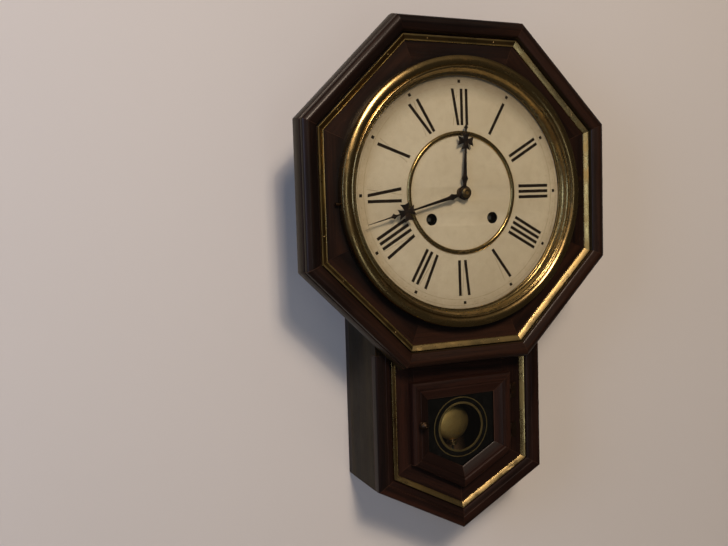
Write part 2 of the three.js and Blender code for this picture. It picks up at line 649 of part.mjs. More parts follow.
function pendulum() {
  const cock = box(-6, 6, BEAT_HEIGHT + 3, BEAT_HEIGHT + 11, FRONT_PLATE + PLATE_THICKNESS + GAP, 53);
  const slit = box(-0.9, 0.9, BEAT_HEIGHT, BEAT_HEIGHT + 12, 47.6, 54);
  add('suspension_cock', cut(cock, slit), PLATE_BRASS);
  const springFoot = BEAT_HEIGHT - 8;
  add('suspension_spring', box(-0.25, 0.25, springFoot, BEAT_HEIGHT + 8, 48, 52), STEEL);

  // The rod opens into a loop that passes round the centre arbor.
  const loop = new THREE.Shape().absellipse(0, 0, 8, 14, 0, 2 * Math.PI, false, 0);
  loop.holes.push(new THREE.Path().absellipse(0, 0, 6.2, 12.2, 0, 2 * Math.PI, false, 0));
  const ring = new THREE.ExtrudeGeometry(loop, { depth: 2, bevelEnabled: false, curveSegments: 10 });
  add('pendulum_rod', join(
    post(0, PENDULUM_PLANE, 1.1, 13, springFoot - GAP, 8),
    ring.translate(0, 0, PENDULUM_PLANE - 1),
    post(0, PENDULUM_PLANE, 1.1, BOB_HEIGHT - 27, -13, 8),
  ), STEEL);

  const bob = turned([[0, 45.6], [7, 45.9], [13, 47.2], [17, 49.6], [17, 50.4], [13, 52.8], [7, 54.1], [0, 54.4]],
    24, 0, new THREE.Vector2(0, BOB_HEIGHT));
  add('pendulum_bob', cut(bob, post(0, PENDULUM_PLANE, 1.4, BOB_HEIGHT - 30, BOB_HEIGHT + 30)), BRASS);
  const nut = post(0, PENDULUM_PLANE, 4, BOB_HEIGHT - 21, BOB_HEIGHT - 17.6, 10);
  add('rating_nut', cut(nut, post(0, PENDULUM_PLANE, 1.4, BOB_HEIGHT - 30, BOB_HEIGHT)), BRASS);
}

// ---------------------------------------------------------------- strike work

function strikeWork() {
  add('strike_barrel', barrel(STRIKE_ARBOR, PIN_ARBOR, 35, 25, 36), PLATE_BRASS);
  add('strike_winding_arbor', windingArbor(STRIKE_ARBOR), STEEL);
  add('strike_pin_wheel', join(
    arbor(PIN_ARBOR),
    drivenGear(PIN_ARBOR, STRIKE_ARBOR, GREAT_PINION, GREAT_MODULE, 34, 38),
    drivingGear(PIN_ARBOR, FLY_ARBOR, PIN_WHEEL_TEETH, PIN_MODULE, 20, 21.6),
  ), PLATE_BRASS);
  add('strike_fly', join(
    arbor(FLY_ARBOR),
    drivenGear(FLY_ARBOR, PIN_ARBOR, FLY_PINION, PIN_MODULE, 18.6, 23),
    box(FLY_ARBOR.x - 10.5, FLY_ARBOR.x + 10.5, FLY_ARBOR.y - 0.4, FLY_ARBOR.y + 0.4, 26, 38),
  ), PLATE_BRASS);

  // Hammer: an arm hangs from its arbor and holds a round head beside the gong.
  const head = new THREE.Vector2(GONG_CENTRE.x + GONG_OUTER + 7.6, GONG_CENTRE.y + 8);
  const reach = head.clone().sub(HAMMER_ARBOR);
  const arm = new THREE.CylinderGeometry(1.2, 1.2, reach.length(), 8)
    .rotateZ(Math.atan2(reach.y, reach.x) - Math.PI / 2)
    .translate(HAMMER_ARBOR.x + reach.x / 2, HAMMER_ARBOR.y + reach.y / 2, 18.4);
  const hammerHead = new THREE.CylinderGeometry(3.6, 3.6, 9, SMALL_ROUND)
    .rotateZ(Math.PI / 2).translate(head.x, head.y, 18.4);
  add('strike_hammer', join(arbor(HAMMER_ARBOR), arm, hammerHead), STEEL);

  // Coil gong: a flat spiral of square wire whose inner end is held by an iron block.
  const turns = 3;
  const points = [];
  for (let i = 0; i <= turns * 12; i += 1) {
    const angle = 2 * Math.PI * i / 12;
    const radius = THREE.MathUtils.lerp(GONG_INNER, GONG_OUTER, i / (turns * 12));
    points.push(new THREE.Vector3(GONG_CENTRE.x + radius * Math.cos(angle),
      GONG_CENTRE.y + radius * Math.sin(angle), 18.4));
  }
  const inward = new THREE.Vector3(GONG_CENTRE.x + 6, GONG_CENTRE.y, 18.4);
  const path = new THREE.CatmullRomCurve3([inward, ...points]);
  const section = shapeOf(circlePoints(CENTRE, 1.2, 6));
  const coil = new THREE.ExtrudeGeometry(section, { steps: turns * 16, bevelEnabled: false, extrudePath: path });
  add('gong_coil', coil, STEEL);
  const block = rod(GONG_CENTRE, 5.4, BACK_THICKNESS + GAP, 22, 16);
  const foot = box(GONG_CENTRE.x - 11, GONG_CENTRE.x + 11, GONG_CENTRE.y - 7, GONG_CENTRE.y + 7,
    BACK_THICKNESS + GAP, 12);
  add('gong_block', join(block, foot), IRON);
}

caseParts();
octagonParts();
dropParts();
doorParts();
dialParts();
bezelParts();
movementFrame();
goingTrain();
motionWork();
hands();
pendulum();
strikeWork();

export default object;
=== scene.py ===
"""Schoolhouse wall clock: the looks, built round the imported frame.

Lengths are in millimetres in the clock's face frame (x right, y up, forward from the
wall) and `placed` turns them into metres. Materials, lights and camera are in metres.
"""

import json
import math
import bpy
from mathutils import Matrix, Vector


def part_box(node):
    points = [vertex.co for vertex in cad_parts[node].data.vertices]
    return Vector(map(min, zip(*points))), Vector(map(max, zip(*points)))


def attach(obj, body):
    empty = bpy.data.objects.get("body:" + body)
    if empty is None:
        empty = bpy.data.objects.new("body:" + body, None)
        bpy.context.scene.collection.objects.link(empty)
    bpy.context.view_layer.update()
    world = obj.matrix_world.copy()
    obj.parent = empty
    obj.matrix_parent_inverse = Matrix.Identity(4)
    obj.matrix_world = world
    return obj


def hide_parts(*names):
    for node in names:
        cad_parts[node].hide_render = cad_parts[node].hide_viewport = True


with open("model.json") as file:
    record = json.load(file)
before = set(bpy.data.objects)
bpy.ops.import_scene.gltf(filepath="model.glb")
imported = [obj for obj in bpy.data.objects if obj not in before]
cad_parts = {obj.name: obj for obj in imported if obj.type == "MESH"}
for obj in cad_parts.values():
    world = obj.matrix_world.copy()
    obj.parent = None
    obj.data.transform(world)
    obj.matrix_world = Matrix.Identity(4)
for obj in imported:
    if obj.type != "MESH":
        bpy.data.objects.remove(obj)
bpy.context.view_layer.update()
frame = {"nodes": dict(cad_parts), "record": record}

from types import SimpleNamespace

import bmesh
import bpy
from mathutils import Matrix, Vector

MM = 0.001
GAP = 0.04                      # left between mitred ends
GRAIN_STEP = 311                # how far apart two lengths lie in the wood pattern
EIGHTH = math.pi / 4


# -------- sizes from the frame

def extent(node):
    """A node's limits in the face frame."""
    low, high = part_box(node)
    return SimpleNamespace(
        left=low.x / MM, right=high.x / MM, bottom=low.z / MM, top=high.z / MM,
        back=-high.y / MM, front=-low.y / MM,
        x=(low.x + high.x) / 2 / MM, y=(low.z + high.z) / 2 / MM,
    )


BOARD = extent("octagon_board")
OCTAGON = BOARD.right                                # apothem of the octagon
FIELD = BOARD.front
CREST = extent("octagon_moulding").front
PANEL = extent("drop_panel")
DROP_CREST = extent("drop_moulding").front
DOOR = extent("door_frame")
DOOR_GLASS = extent("door_glass")
DIAL = extent("dial")
DIAL_RING = extent("dial_ring")
BEZEL = extent("bezel")
BEZEL_GLASS = extent("bezel_glass")
SIGHT = extent("sight_ring")
HOUR_HAND = extent("hour_hand")
MINUTE_HAND = extent("minute_hand")
NUT = extent("hand_nut")
BOB = extent("pendulum_bob")
TIME_ARBOR = extent("time_winding_arbor")
STRIKE_ARBOR = extent("strike_winding_arbor")

HALF_WIDTH = PANEL.right
TIP = PANEL.bottom
CORNER = extent("case_side_left").bottom             # where the sides meet the V
VEE = math.atan2(CORNER - TIP, HALF_WIDTH)

# Dial layout: radii, widths, and degrees anticlockwise
NUMERAL_INNER = 59.7
NUMERAL_OUTER = 91.6
BAR = 2.8
HAIRLINE = 0.4
TRACK_RADIUS = 98
TRACK_LINES = (("inner", 95.1), ("outer", 100.6))
TRACK_LINE = 0.28
HOUR_MARK = 2.7
MINUTE_DOT = 0.42
DIAL_TURN = 0.45
HOUR_ANGLE = 87.1
MINUTE_ANGLE = 195.1
WINDING_HOLE = 5.2
CENTRE_HOLE = 5.3
HOUR_BORE = 4.95
MINUTE_BORE = 3.25
BLADE = 0.9

# Brass strips: the octagon's sit a little low and to the right
BEAD_WIDTH = 5.1
BEAD_INSET = 17.0
BEAD_SHIFT = 0.6
DROP_BEAD_WIDTH = 4.6
DROP_BEAD_INSET = 15.8
PIN_FOOT = 1.2
PIN_HEAD = 1.95

# Window in the drop door: its centre, the clear glass, the gilt ring, the gilt line
WINDOW = (0.2, -213.9)
WINDOW_CLEAR = 21.4
WINDOW_RING = 23.4
WINDOW_LINE = (27.1, 28.1)
DOOR_OPENING = 47               # from the side of the drop to the hole behind the door


# -------- placing and meshes

FACE = Matrix.Rotation(math.radians(90), 4, "X")     # local x right, y up, z forward


def placed(x=0, y=0, forward=0, turn=0):
    origin = Matrix.Translation(Vector((x, -forward, y)) * MM)
    return origin @ FACE @ Matrix.Rotation(math.radians(turn), 4, "Z")


def finish_mesh(mesh, sharp=32):
    """Welds, turns the faces outwards, and shades smooth up to an angle."""
    shape = bmesh.new()
    shape.from_mesh(mesh)
    bmesh.ops.remove_doubles(shape, verts=shape.verts, dist=1e-6)
    bmesh.ops.recalc_face_normals(shape, faces=shape.faces)
    shape.to_mesh(mesh)
    shape.free()
    mesh.polygons.foreach_set("use_smooth", [True] * len(mesh.polygons))
    mesh.set_sharp_from_angle(angle=math.radians(sharp))


def piece(name, mesh, matrix, body, look, stands_for=(), sharp=32):
    finish_mesh(mesh, sharp)
    made = bpy.data.objects.new(name, mesh)
    bpy.context.scene.collection.objects.link(made)
    made.matrix_world = matrix
    mesh.materials.append(look.material)
    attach(made, body)
    if stands_for:
        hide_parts(*stands_for)
    return made


def mesh_of(name, verts, faces):
    mesh = bpy.data.meshes.new(name)
    mesh.from_pydata([Vector(v) * MM for v in verts], [], faces)
    return mesh


def soften(made, width):
    """Rounds the sharp edges of a CAD node."""
    bevel = made.modifiers.new("rounding", "BEVEL")
    bevel.width = width * MM
    bevel.segments = 2
    bevel.limit_method = "ANGLE"
    bevel.angle_limit = math.radians(40)
    bevel.harden_normals = True


def arc(x, y, radius, start, end, count):
    """Points along an arc, in degrees, both ends included."""
    points = []
    for i in range(count + 1):
        angle = math.radians(start + (end - start) * i / count)
        points.append((x + radius * math.cos(angle), y + radius * math.sin(angle)))
    return points


def turned_mesh(name, profile, segments):
    """A solid of revolution. Its profile is (radius, forward) points, either closed on
    itself or running from the axis back to the axis."""
    on_axis = profile[0][0] == 0
    verts = []
    rings = []
    for radius, forward in profile:
        if radius == 0:
            rings.append([len(verts)] * segments)
            verts.append((0, 0, forward))
            continue
        ring = []
        for i in range(segments):
            angle = 2 * math.pi * i / segments
            ring.append(len(verts))
            verts.append((radius * math.cos(angle), radius * math.sin(angle), forward))
        rings.append(ring)
    pairs = list(zip(rings, rings[1:]))
    if not on_axis:
        pairs.append((rings[-1], rings[0]))
    faces = []
    for low, high in pairs:
        for i in range(segments):
            j = (i + 1) % segments
            corners = [low[i], low[j], high[j], high[i]]
            faces.append(list(dict.fromkeys(corners)))
    return mesh_of(name, verts, faces)


def turned(name, profile, matrix, body, look, segments=64, stands_for=(), sharp=32):
    return piece(name, turned_mesh(name, profile, segments), matrix, body, look, stands_for, sharp)


def carved(mesh, matrix, profile):
    """The mesh less a solid turned about the dial's centre."""
    holders = []
    for part, place in ((mesh, matrix), (turned_mesh("recess", profile, 256), placed())):
        finish_mesh(part)
        holder = bpy.data.objects.new(part.name, part)
        bpy.context.scene.collection.objects.link(holder)
        holder.matrix_world = place
        holders.append(holder)
    recess = holders[0].modifiers.new("recess", "BOOLEAN")
    recess.object = holders[1]
    recess.solver = "EXACT"
    graph = bpy.context.evaluated_depsgraph_get()
    result = bpy.data.meshes.new_from_object(holders[0].evaluated_get(graph))
    for holder in holders:
        bpy.data.objects.remove(holder)
    return result


def lengthwise(name, start, end, start_cut, end_cut, profile, body, look, stands_for=(),
               grain=0, sharp=24, recess=None):
    """A straight length with one profile of (inwards, forward) points.

    It runs anticlockwise from start to end along the outer edge. A cut is how far that
    end runs back for each millimetre inwards: 0 is square, a mitre is the cotangent of
    half the corner. `grain` shifts the piece along its own wood pattern."""
    along = Vector(end) - Vector(start)
    length = along.length
    shift = GRAIN_STEP * grain
    verts = []
    for inwards, forward in profile:
        verts.append((shift + inwards * start_cut + GAP, inwards, forward))
    for inwards, forward in profile:
        verts.append((shift + length - inwards * end_cut - GAP, inwards, forward))
    count = len(profile)
    faces = [list(range(count)), list(range(2 * count - 1, count - 1, -1))]
    for i in range(count):
        j = (i + 1) % count
        faces.append([i, j, j + count, i + count])
    base = placed(start[0], start[1], 0, math.degrees(math.atan2(along.y, along.x)))
    matrix = base @ Matrix.Translation(Vector((-shift, 0, 0)) * MM)
    mesh = mesh_of(name, verts, faces)
    if recess:
        mesh = carved(mesh, matrix, recess)
    return piece(name, mesh, matrix, body, look, stands_for, sharp)


def cutout(name, outlines, back, front, matrix, body, look, bevel=0.1, stands_for=(), steps=2):
    """A flat piece with rounded edges. Outlines inside another are holes."""
    curve = bpy.data.curves.new(name, "CURVE")
    curve.dimensions = "2D"
    curve.fill_mode = "BOTH"
    curve.extrude = ((front - back) / 2 - bevel) * MM
    curve.bevel_depth = bevel * MM
    curve.bevel_resolution = steps
    curve.offset = -bevel * MM
    for points in outlines:
        spline = curve.splines.new("POLY")
        spline.points.add(len(points) - 1)
        spline.use_cyclic_u = True
        for spot, (x, y) in zip(spline.points, points):
            spot.co = (x * MM, y * MM, 0, 1)
    holder = bpy.data.objects.new(name + "_outline", curve)
    bpy.context.scene.collection.objects.link(holder)
    graph = bpy.context.evaluated_depsgraph_get()
    mesh = bpy.data.meshes.new_from_object(holder.evaluated_get(graph))
    bpy.data.objects.remove(holder)
    mesh.transform(Matrix.Translation((0, 0, (back + front) / 2 * MM)))
    return piece(name, mesh, matrix, body, look, stands_for)


def block(name, size, centre, body, look, rounding):
    """A board given by its size and centre, with eased edges."""
    shape = bmesh.new()
    bmesh.ops.create_cube(shape, size=1)
    bmesh.ops.scale(shape, vec=Vector(size) * MM, verts=shape.verts)
    bmesh.ops.bevel(shape, geom=shape.edges[:], offset=rounding * MM, segments=3, affect="EDGES")
    bmesh.ops.translate(shape, vec=Vector(centre) * MM, verts=shape.verts)
    mesh = bpy.data.meshes.new(name)
    shape.to_mesh(mesh)
    shape.free()
    return piece(name, mesh, placed(), body, look)


def circle(x, y, radius, count=96):
    return arc(x, y, radius, 0, 360, count)[:-1]


# -------- material helpers

class Look:
    """A material with its node tree and main shader."""

    def __init__(self, name, slot):
        self.material = bpy.data.materials.new(name)
        self.material.use_nodes = True
        self.slot = slot
        self.tree = self.material.node_tree
        self.shader = self.tree.nodes["Principled BSDF"]

    def node(self, kind, inputs=None, **settings):
        made = self.tree.nodes.new("ShaderNode" + kind)
        for key, value in settings.items():
            setattr(made, key, value)
        for key, value in (inputs or {}).items():
            self.feed(made.inputs[key], value)
        return made

    def feed(self, socket, value):
        if isinstance(value, bpy.types.NodeSocket):
            self.tree.links.new(value, socket)
        else:
            socket.default_value = value

    def place(self, upright=False):
        """Object coordinates in metres, x along the grain. Upright grain runs along z."""
        spot = self.node("TexCoord").outputs["Object"]
        if not upright:
            return spot
        parts = self.node("SeparateXYZ", {"Vector": spot}).outputs
        swapped = {axis: parts[source] for axis, source in zip("XYZ", "ZXY")}
        return self.node("CombineXYZ", swapped).outputs[0]

    def axis(self, vector, number):
        return self.node("SeparateXYZ", {"Vector": vector}).outputs[number]

    def stretched(self, vector, scale):
        return self.node("Mapping", {"Vector": vector, "Scale": scale}).outputs[0]

    def swayed(self, vector, sway, scale):
        """Stretched coordinates that wander slowly, for wood grain."""
        wave = self.noise(self.stretched(vector, sway), detail=2)
        spread = self.stretched(vector, scale)
        return self.node("VectorMath", {0: spread, 1: wave}, operation="ADD").outputs[0]

    def length(self, x, y):
        flat = self.node("CombineXYZ", {"X": x, "Y": y}).outputs[0]
        return self.node("VectorMath", {0: flat}, operation="LENGTH").outputs["Value"]

    def noise(self, vector, scale=1.0, detail=4.0, rough=0.55, distortion=0.0):
        made = self.node("TexNoise", {
            "Vector": vector, "Scale": scale, "Detail": detail, "Roughness": rough,
            "Distortion": distortion,
        })
        return made.outputs["Fac"]

    def maths(self, operation, a, b=0.0, clamp=False):
        made = self.node("Math", operation=operation, use_clamp=clamp)
        self.feed(made.inputs[0], a)
        self.feed(made.inputs[1], b)
        return made.outputs[0]

    def between(self, value, low, high, to_low=0.0, to_high=1.0):
        """Maps a range of values to another, clamped."""
        made = self.node("MapRange", {
            "Value": value, "From Min": low, "From Max": high,
            "To Min": to_low, "To Max": to_high,
        }, clamp=True)
        return made.outputs[0]

    def mix(self, share, a, b):
        made = self.node("Mix", data_type="RGBA")
        self.feed(made.inputs["Factor"], share)
        for socket, value in ((made.inputs[6], a), (made.inputs[7], b)):
            self.feed(socket, (*value, 1) if isinstance(value, tuple) else value)
        return made.outputs[2]

    def worn_edge(self, reach):
        """1 on outer and inner edges, 0 on flats, from how far a rounded normal leans."""
        rounded = self.node("Bevel", {"Radius": reach * MM}, samples=6).outputs[0]
        normal = self.node("NewGeometry").outputs["Normal"]
        lean = self.node("VectorMath", {0: rounded, 1: normal}, operation="DOT_PRODUCT")
        return self.between(lean.outputs["Value"], 0.98, 0.8)

    def around(self, place):
        """Coordinates that follow a ring about the forward axis: x round it, y outwards."""
        parts = self.node("SeparateXYZ", {"Vector": place}).outputs
        angle = self.maths("ARCTAN2", parts[1], parts[0])
        round_it = self.maths("MULTIPLY", angle, 0.1)
        radius = self.length(parts[0], parts[1])
        return self.node("CombineXYZ", {"X": round_it, "Y": radius, "Z": parts[2]}).outputs[0]

    def sides(self, start, full, share):
        """How far a fixed board's face is turned away from the room and the wall."""
        forward = self.axis(self.node("NewGeometry").outputs["True Normal"], 1)
        return self.between(self.maths("ABSOLUTE", forward), start, full, 0, share)

    def bump(self, height, depth, strength=1.0, under=None):
        inputs = {"Height": height, "Distance": depth * MM, "Strength": strength}
        if under is not None:
            inputs["Normal"] = under
        return self.node("Bump", inputs).outputs[0]

    def shade(self, **values):
        for key, value in values.items():
            self.feed(self.shader.inputs[key.replace("_", " ")], value)
        return self


# -------- materials

def stained_wood(name, dark=(0.0048, 0.0023, 0.0017), mid=(0.0150, 0.0058, 0.0036),
                 light=(0.036, 0.0128, 0.0072), gloss=1.0, upright=False, board=False):
    """Dark red-brown stain under old shellac: soft figure, fine fibre, open pores,
    rubbed edges and dull patches. A board also has painted shade round the bezel."""
    look = Look(name, "stained_wood")
    place = look.place(upright)
    swayed = look.swayed(place, (5, 16, 16), (1.6, 46, 46))
    figure = look.noise(swayed, detail=5, rough=0.6, distortion=0.7)
    fibre = look.noise(look.stretched(place, (14, 820, 820)), detail=5, rough=0.65)
    pores = look.between(look.noise(look.stretched(place, (85, 1500, 1500)), detail=2), 0.60, 0.70)
    patches = look.noise(place, scale=17, detail=4)
    tone = look.maths("MULTIPLY", figure, 0.7)
    tone = look.maths("ADD", tone, look.maths("MULTIPLY", fibre, 0.3))
    colour = look.mix(look.between(tone, 0.36, 0.52), dark, mid)
    colour = look.mix(look.between(tone, 0.50, 0.68), colour, light)
    colour = look.mix(look.maths("MULTIPLY", pores, 0.75), colour, (0.004, 0.0018, 0.0014))
    worn = look.between(patches, 0.42, 0.62)
    rubbed = look.maths("MULTIPLY", look.worn_edge(0.9), worn, clamp=True)
    scuffs = look.noise(look.stretched(place, (60, 240, 240)), detail=6, rough=0.7)
    scuffs = look.between(scuffs, 0.64, 0.74, 0, 0.25)
    rubbed = look.maths("MAXIMUM", look.maths("MULTIPLY", rubbed, 0.55), scuffs)
    colour = look.mix(rubbed, colour, (0.11, 0.052, 0.027))
    if board:
        # painted shade round the bezel, darkening the board
        colour = look.mix(bezel_shade_ring(look, place), colour, (0.0028, 0.0018, 0.0016))
        olive = look.mix(fibre, (0.014, 0.0098, 0.0038), (0.038, 0.0265, 0.0095))
        colour = look.mix(look.sides(0.5, 0.2, 0.8), colour, olive)
    rough = look.between(patches, 0.3, 0.7, 0.30, 0.46)
    rough = look.maths("ADD", rough, look.maths("MULTIPLY", fibre, 0.10))
    rough = look.maths("ADD", rough, look.maths("MULTIPLY", pores, 0.15), clamp=True)
    height = look.maths("SUBTRACT", look.maths("MULTIPLY", fibre, 0.5), pores)
    normal = look.bump(height, 0.06, 0.6)
    dents = look.noise(place, scale=75, detail=2)
    normal = look.bump(dents, 0.22, 0.35, normal)
    return look.shade(Base_Color=colour, Roughness=rough, Normal=normal,
                      Specular_IOR_Level=0.15 * gloss, Coat_Weight=0.13 * gloss,
                      Coat_Roughness=0.2, Coat_IOR=1.5)


def bezel_shade_ring(look, place):
    """Painted shade: a soft dark ring on the board round the bezel, standing in for its shadow."""
    half_side = OCTAGON * math.tan(EIGHTH / 2)
    along = look.maths("FLOORED_MODULO", look.axis(place, 0), GRAIN_STEP * MM)
    along = look.maths("SUBTRACT", along, half_side * MM)
    inwards = look.maths("SUBTRACT", look.axis(place, 1), OCTAGON * MM)
    radius = look.length(along, inwards)
    return look.between(radius, (BEZEL.right + 8) * MM, (BEZEL.right + 1) * MM, 0, 0.9)


def raw_wood():
    """Bare pine back: wide growth bands, dust and water stains, stained along its edges."""
    look = Look("bare_pine", "raw_wood")
    place = look.place(upright=True)
    bands = look.node("TexWave", {
        "Vector": look.swayed(place, (6, 10, 10), (1.2, 46, 46)), "Scale": 0.62,
        "Distortion": 4.5, "Detail": 4, "Detail Scale": 1.6,
    }, bands_direction="Y").outputs["Fac"]
    fibre = look.noise(look.stretched(place, (20, 700, 700)), detail=5)
    stain = look.noise(place, scale=9, detail=6)
    colour = look.mix(look.between(bands, 0.35, 0.95), (0.31, 0.185, 0.095), (0.205, 0.108, 0.048))
    colour = look.mix(look.maths("MULTIPLY", fibre, 0.5), colour, (0.13, 0.07, 0.034))
    colour = look.mix(look.between(stain, 0.5, 0.72, 0, 0.7), colour, (0.075, 0.045, 0.026))
    worn = look.maths("MULTIPLY", look.worn_edge(1.2), 0.5)
    colour = look.mix(worn, colour, (0.06, 0.034, 0.02))
    colour = look.mix(look.sides(0.6, 0.4, 0.96), colour, (0.014, 0.009, 0.005))
    return look.shade(Base_Color=colour, Roughness=look.between(fibre, 0.3, 0.7, 0.66, 0.86),
                      Normal=look.bump(fibre, 0.16, 0.7))


def aged_brass(name, clean, tarnish, polish, dirt=0.6, ring=False, strip=0,
               brush=(6, 1600, 1600), slot="case_brass"):
    """Brass with cloudy tarnish, brown freckles, fine rubbing marks and dirt. Marks on a
    ring run round it, and a strip of a given width has a painted dark reflection along its middle."""
    look = Look(name, slot)
    place = look.place()
    along = look.around(place) if ring else place
    clouds = look.noise(place, scale=38, detail=6, rough=0.62)
    freckles = look.between(look.noise(place, scale=520, detail=3), 0.63, 0.71)
    blotches = look.noise(look.stretched(along, (60, 260, 260)), detail=5, rough=0.7)
    blotches = look.between(blotches, 0.58, 0.70)
    marks = look.noise(look.stretched(along, brush), detail=3, rough=0.6)
    spots = (0.13, 0.045, 0.016)
    colour = look.mix(look.between(clouds, 0.40, 0.66), clean, tarnish)
    colour = look.mix(look.maths("MULTIPLY", blotches, dirt), colour, spots)
    colour = look.mix(look.maths("MULTIPLY", freckles, dirt), colour, spots)
    # Painted reflection: a brown band along the strip's middle, for the dark room mirrored there.
    if strip:
        inwards = look.maths("SUBTRACT", look.axis(place, 1), strip / 2 * MM)
        off_centre = look.maths("ABSOLUTE", inwards)
        middle = look.between(off_centre, 0.3 * strip * MM, 0.22 * strip * MM, 0, 0.8)
        colour = look.mix(middle, colour, (0.10, 0.05, 0.018))
    rough = look.maths("ADD", look.between(clouds, 0.38, 0.68, polish, polish + 0.2),
                       look.maths("MULTIPLY", marks, 0.10))
    rough = look.maths("ADD", rough, look.maths("MULTIPLY", blotches, 0.22), clamp=True)
    normal = look.bump(marks, 0.004, 0.4)
    normal = look.bump(clouds, 0.02, 0.2, normal)
    return look.shade(Base_Color=colour, Metallic=1.0, Roughness=rough, Normal=normal)


def dial_paint():
    """Old cream paint: yellowed in clouds, dusty at the rim, fine crazing and specks,
    and painted shade over the top near the rim.
    """
    look = Look("dial_cream", "dial_enamel")
    place = look.place()
    clouds = look.noise(place, scale=16, detail=6, rough=0.6)
    fine = look.noise(place, scale=160, detail=5, rough=0.65)
    specks = look.between(look.noise(place, scale=900, detail=2), 0.70, 0.76)
    radius = look.axis(look.around(place), 1)
    rim = look.between(radius, 0.090, 0.1035)
    colour = look.mix(look.between(clouds, 0.36, 0.66), (0.70, 0.612, 0.450), (0.61, 0.522, 0.372))
    colour = look.mix(look.between(fine, 0.45, 0.72, 0, 0.35), colour, (0.52, 0.425, 0.275))
    dusty = look.maths("MULTIPLY", rim, look.between(fine, 0.3, 0.7, 0.25, 0.75))
    colour = look.mix(dusty, colour, (0.47, 0.375, 0.245))
    colour = look.mix(look.maths("MULTIPLY", specks, 0.45), colour, (0.22, 0.15, 0.085))
    # Painted shade: the upper dial darkens towards the rim, as under the bezel's shadow.
    upper = look.between(look.axis(place, 1), 0.01, 0.085)
    painted_top_shade = look.maths("MULTIPLY", look.between(radius, 0.084, 0.104), upper)
    colour = look.mix(look.maths("MULTIPLY", painted_top_shade, 0.8), colour, (0.13, 0.10, 0.062))
    crackle = look.node("TexVoronoi", {"Vector": place, "Scale": 210.0},
                        feature="DISTANCE_TO_EDGE").outputs["Distance"]
    height = look.maths("ADD", look.maths("MULTIPLY", look.between(crackle, 0, 0.05), 0.25), fine)
    return look.shade(Base_Color=colour, Roughness=look.between(fine, 0.3, 0.7, 0.42, 0.62),
                      Normal=look.bump(height, 0.03, 0.4))


def ink(name, full, thin, cover):
    """Printed numerals, worn through where the ink is thin."""
    look = Look(name, "dial_enamel")
    place = look.place()
    wear = look.noise(place, scale=340, detail=5, rough=0.7)
    colour = look.mix(look.between(wear, cover, cover + 0.16), full, thin)
    return look.shade(Base_Color=colour, Roughness=look.between(wear, 0.3, 0.7, 0.55, 0.75),
                      Normal=look.bump(wear, 0.02, 0.5), Specular_IOR_Level=0.15)


def blackened_steel():
    """Blackened hands with brown bloom, and edges lighter both from rubbing and as a painted
    highlight.
    """
    look = Look("blackened_steel", "blued_steel")
    place = look.place()
    bloom = look.noise(place, scale=190, detail=6, rough=0.7)
    colour = look.mix(look.between(bloom, 0.42, 0.68), (0.012, 0.0095, 0.009),
                      (0.045, 0.025, 0.014))
    # Lighter edges: rubbing wear and a painted edge highlight.
    colour = look.mix(look.maths("MULTIPLY", look.worn_edge(0.25), 0.35), colour,
                      (0.16, 0.12, 0.08))
    return look.shade(Base_Color=colour, Metallic=0.65,
                      Roughness=look.between(bloom, 0.3, 0.7, 0.34, 0.55),
                      Normal=look.bump(bloom, 0.03, 0.5))


def steel():
    """Turned steel of the arbors, with a dull haze."""
    look = Look("movement_steel", "steel")
    place = look.place()
    marks = look.noise(look.stretched(place, (1800, 1800, 30)), detail=3)
    haze = look.noise(place, scale=60, detail=5)
    colour = look.mix(look.between(haze, 0.42, 0.7), (0.42, 0.41, 0.39), (0.189, 0.1845, 0.1755))
    return look.shade(Base_Color=colour, Metallic=1.0,
                      Roughness=look.between(marks, 0.3, 0.7, 0.24, 0.42),
                      Normal=look.bump(marks, 0.012, 0.5))


def cast_iron():
    """Gritty black iron."""
    look = Look("cast_iron_black", "cast_iron")
    grit = look.noise(look.place(), scale=700, detail=5)
    colour = look.mix(look.between(grit, 0.35, 0.7), (0.022, 0.021, 0.02), (0.07, 0.062, 0.055))
    return look.shade(Base_Color=colour, Metallic=0.5,
                      Roughness=look.between(grit, 0.3, 0.7, 0.5, 0.75),
                      Normal=look.bump(grit, 0.2, 0.8))


def black_paint():
    """Reverse painting on the door's glass."""
    look = Look("glass_black", "painted_glass")
    haze = look.noise(look.place(), scale=120, detail=6)
    colour = look.mix(look.between(haze, 0.45, 0.75), (0.0018, 0.0016, 0.0017),
                      (0.006, 0.005, 0.0045))
    return look.shade(Base_Color=colour, Roughness=look.between(haze, 0.3, 0.7, 0.35, 0.6),
                      Normal=look.bump(haze, 0.02, 0.4), Specular_IOR_Level=0.06)


def window_glass(name, slot, tint):
    """A thin old pane: clear straight through, with a mirror share that grows aslant."""
    look = Look(name, slot)
    ripple = look.noise(look.place(), scale=22, detail=2)
    smear = look.noise(look.place(), scale=60, detail=6)
    normal = look.bump(ripple, 0.25, 0.25)
    clear = look.node("BsdfTransparent", {"Color": (*tint, 1)}).outputs[0]
    gloss = look.node("BsdfGlossy", {
        "Color": (1, 1, 1, 1), "Roughness": look.between(smear, 0.4, 0.8, 0.03, 0.14),
        "Normal": normal,
    }).outputs[0]
    facing = look.node("LayerWeight", {"Blend": 0.5, "Normal": normal}).outputs["Facing"]
    aslant = look.maths("MULTIPLY", look.maths("POWER", facing, 5), 0.96)
    share = look.maths("ADD", aslant, 0.035)
    both = look.node("MixShader", {0: share, 1: clear, 2: gloss}).outputs[0]
    look.tree.links.new(both, look.tree.nodes["Material Output"].inputs["Surface"])
    look.tree.nodes.remove(look.shader)
    return look


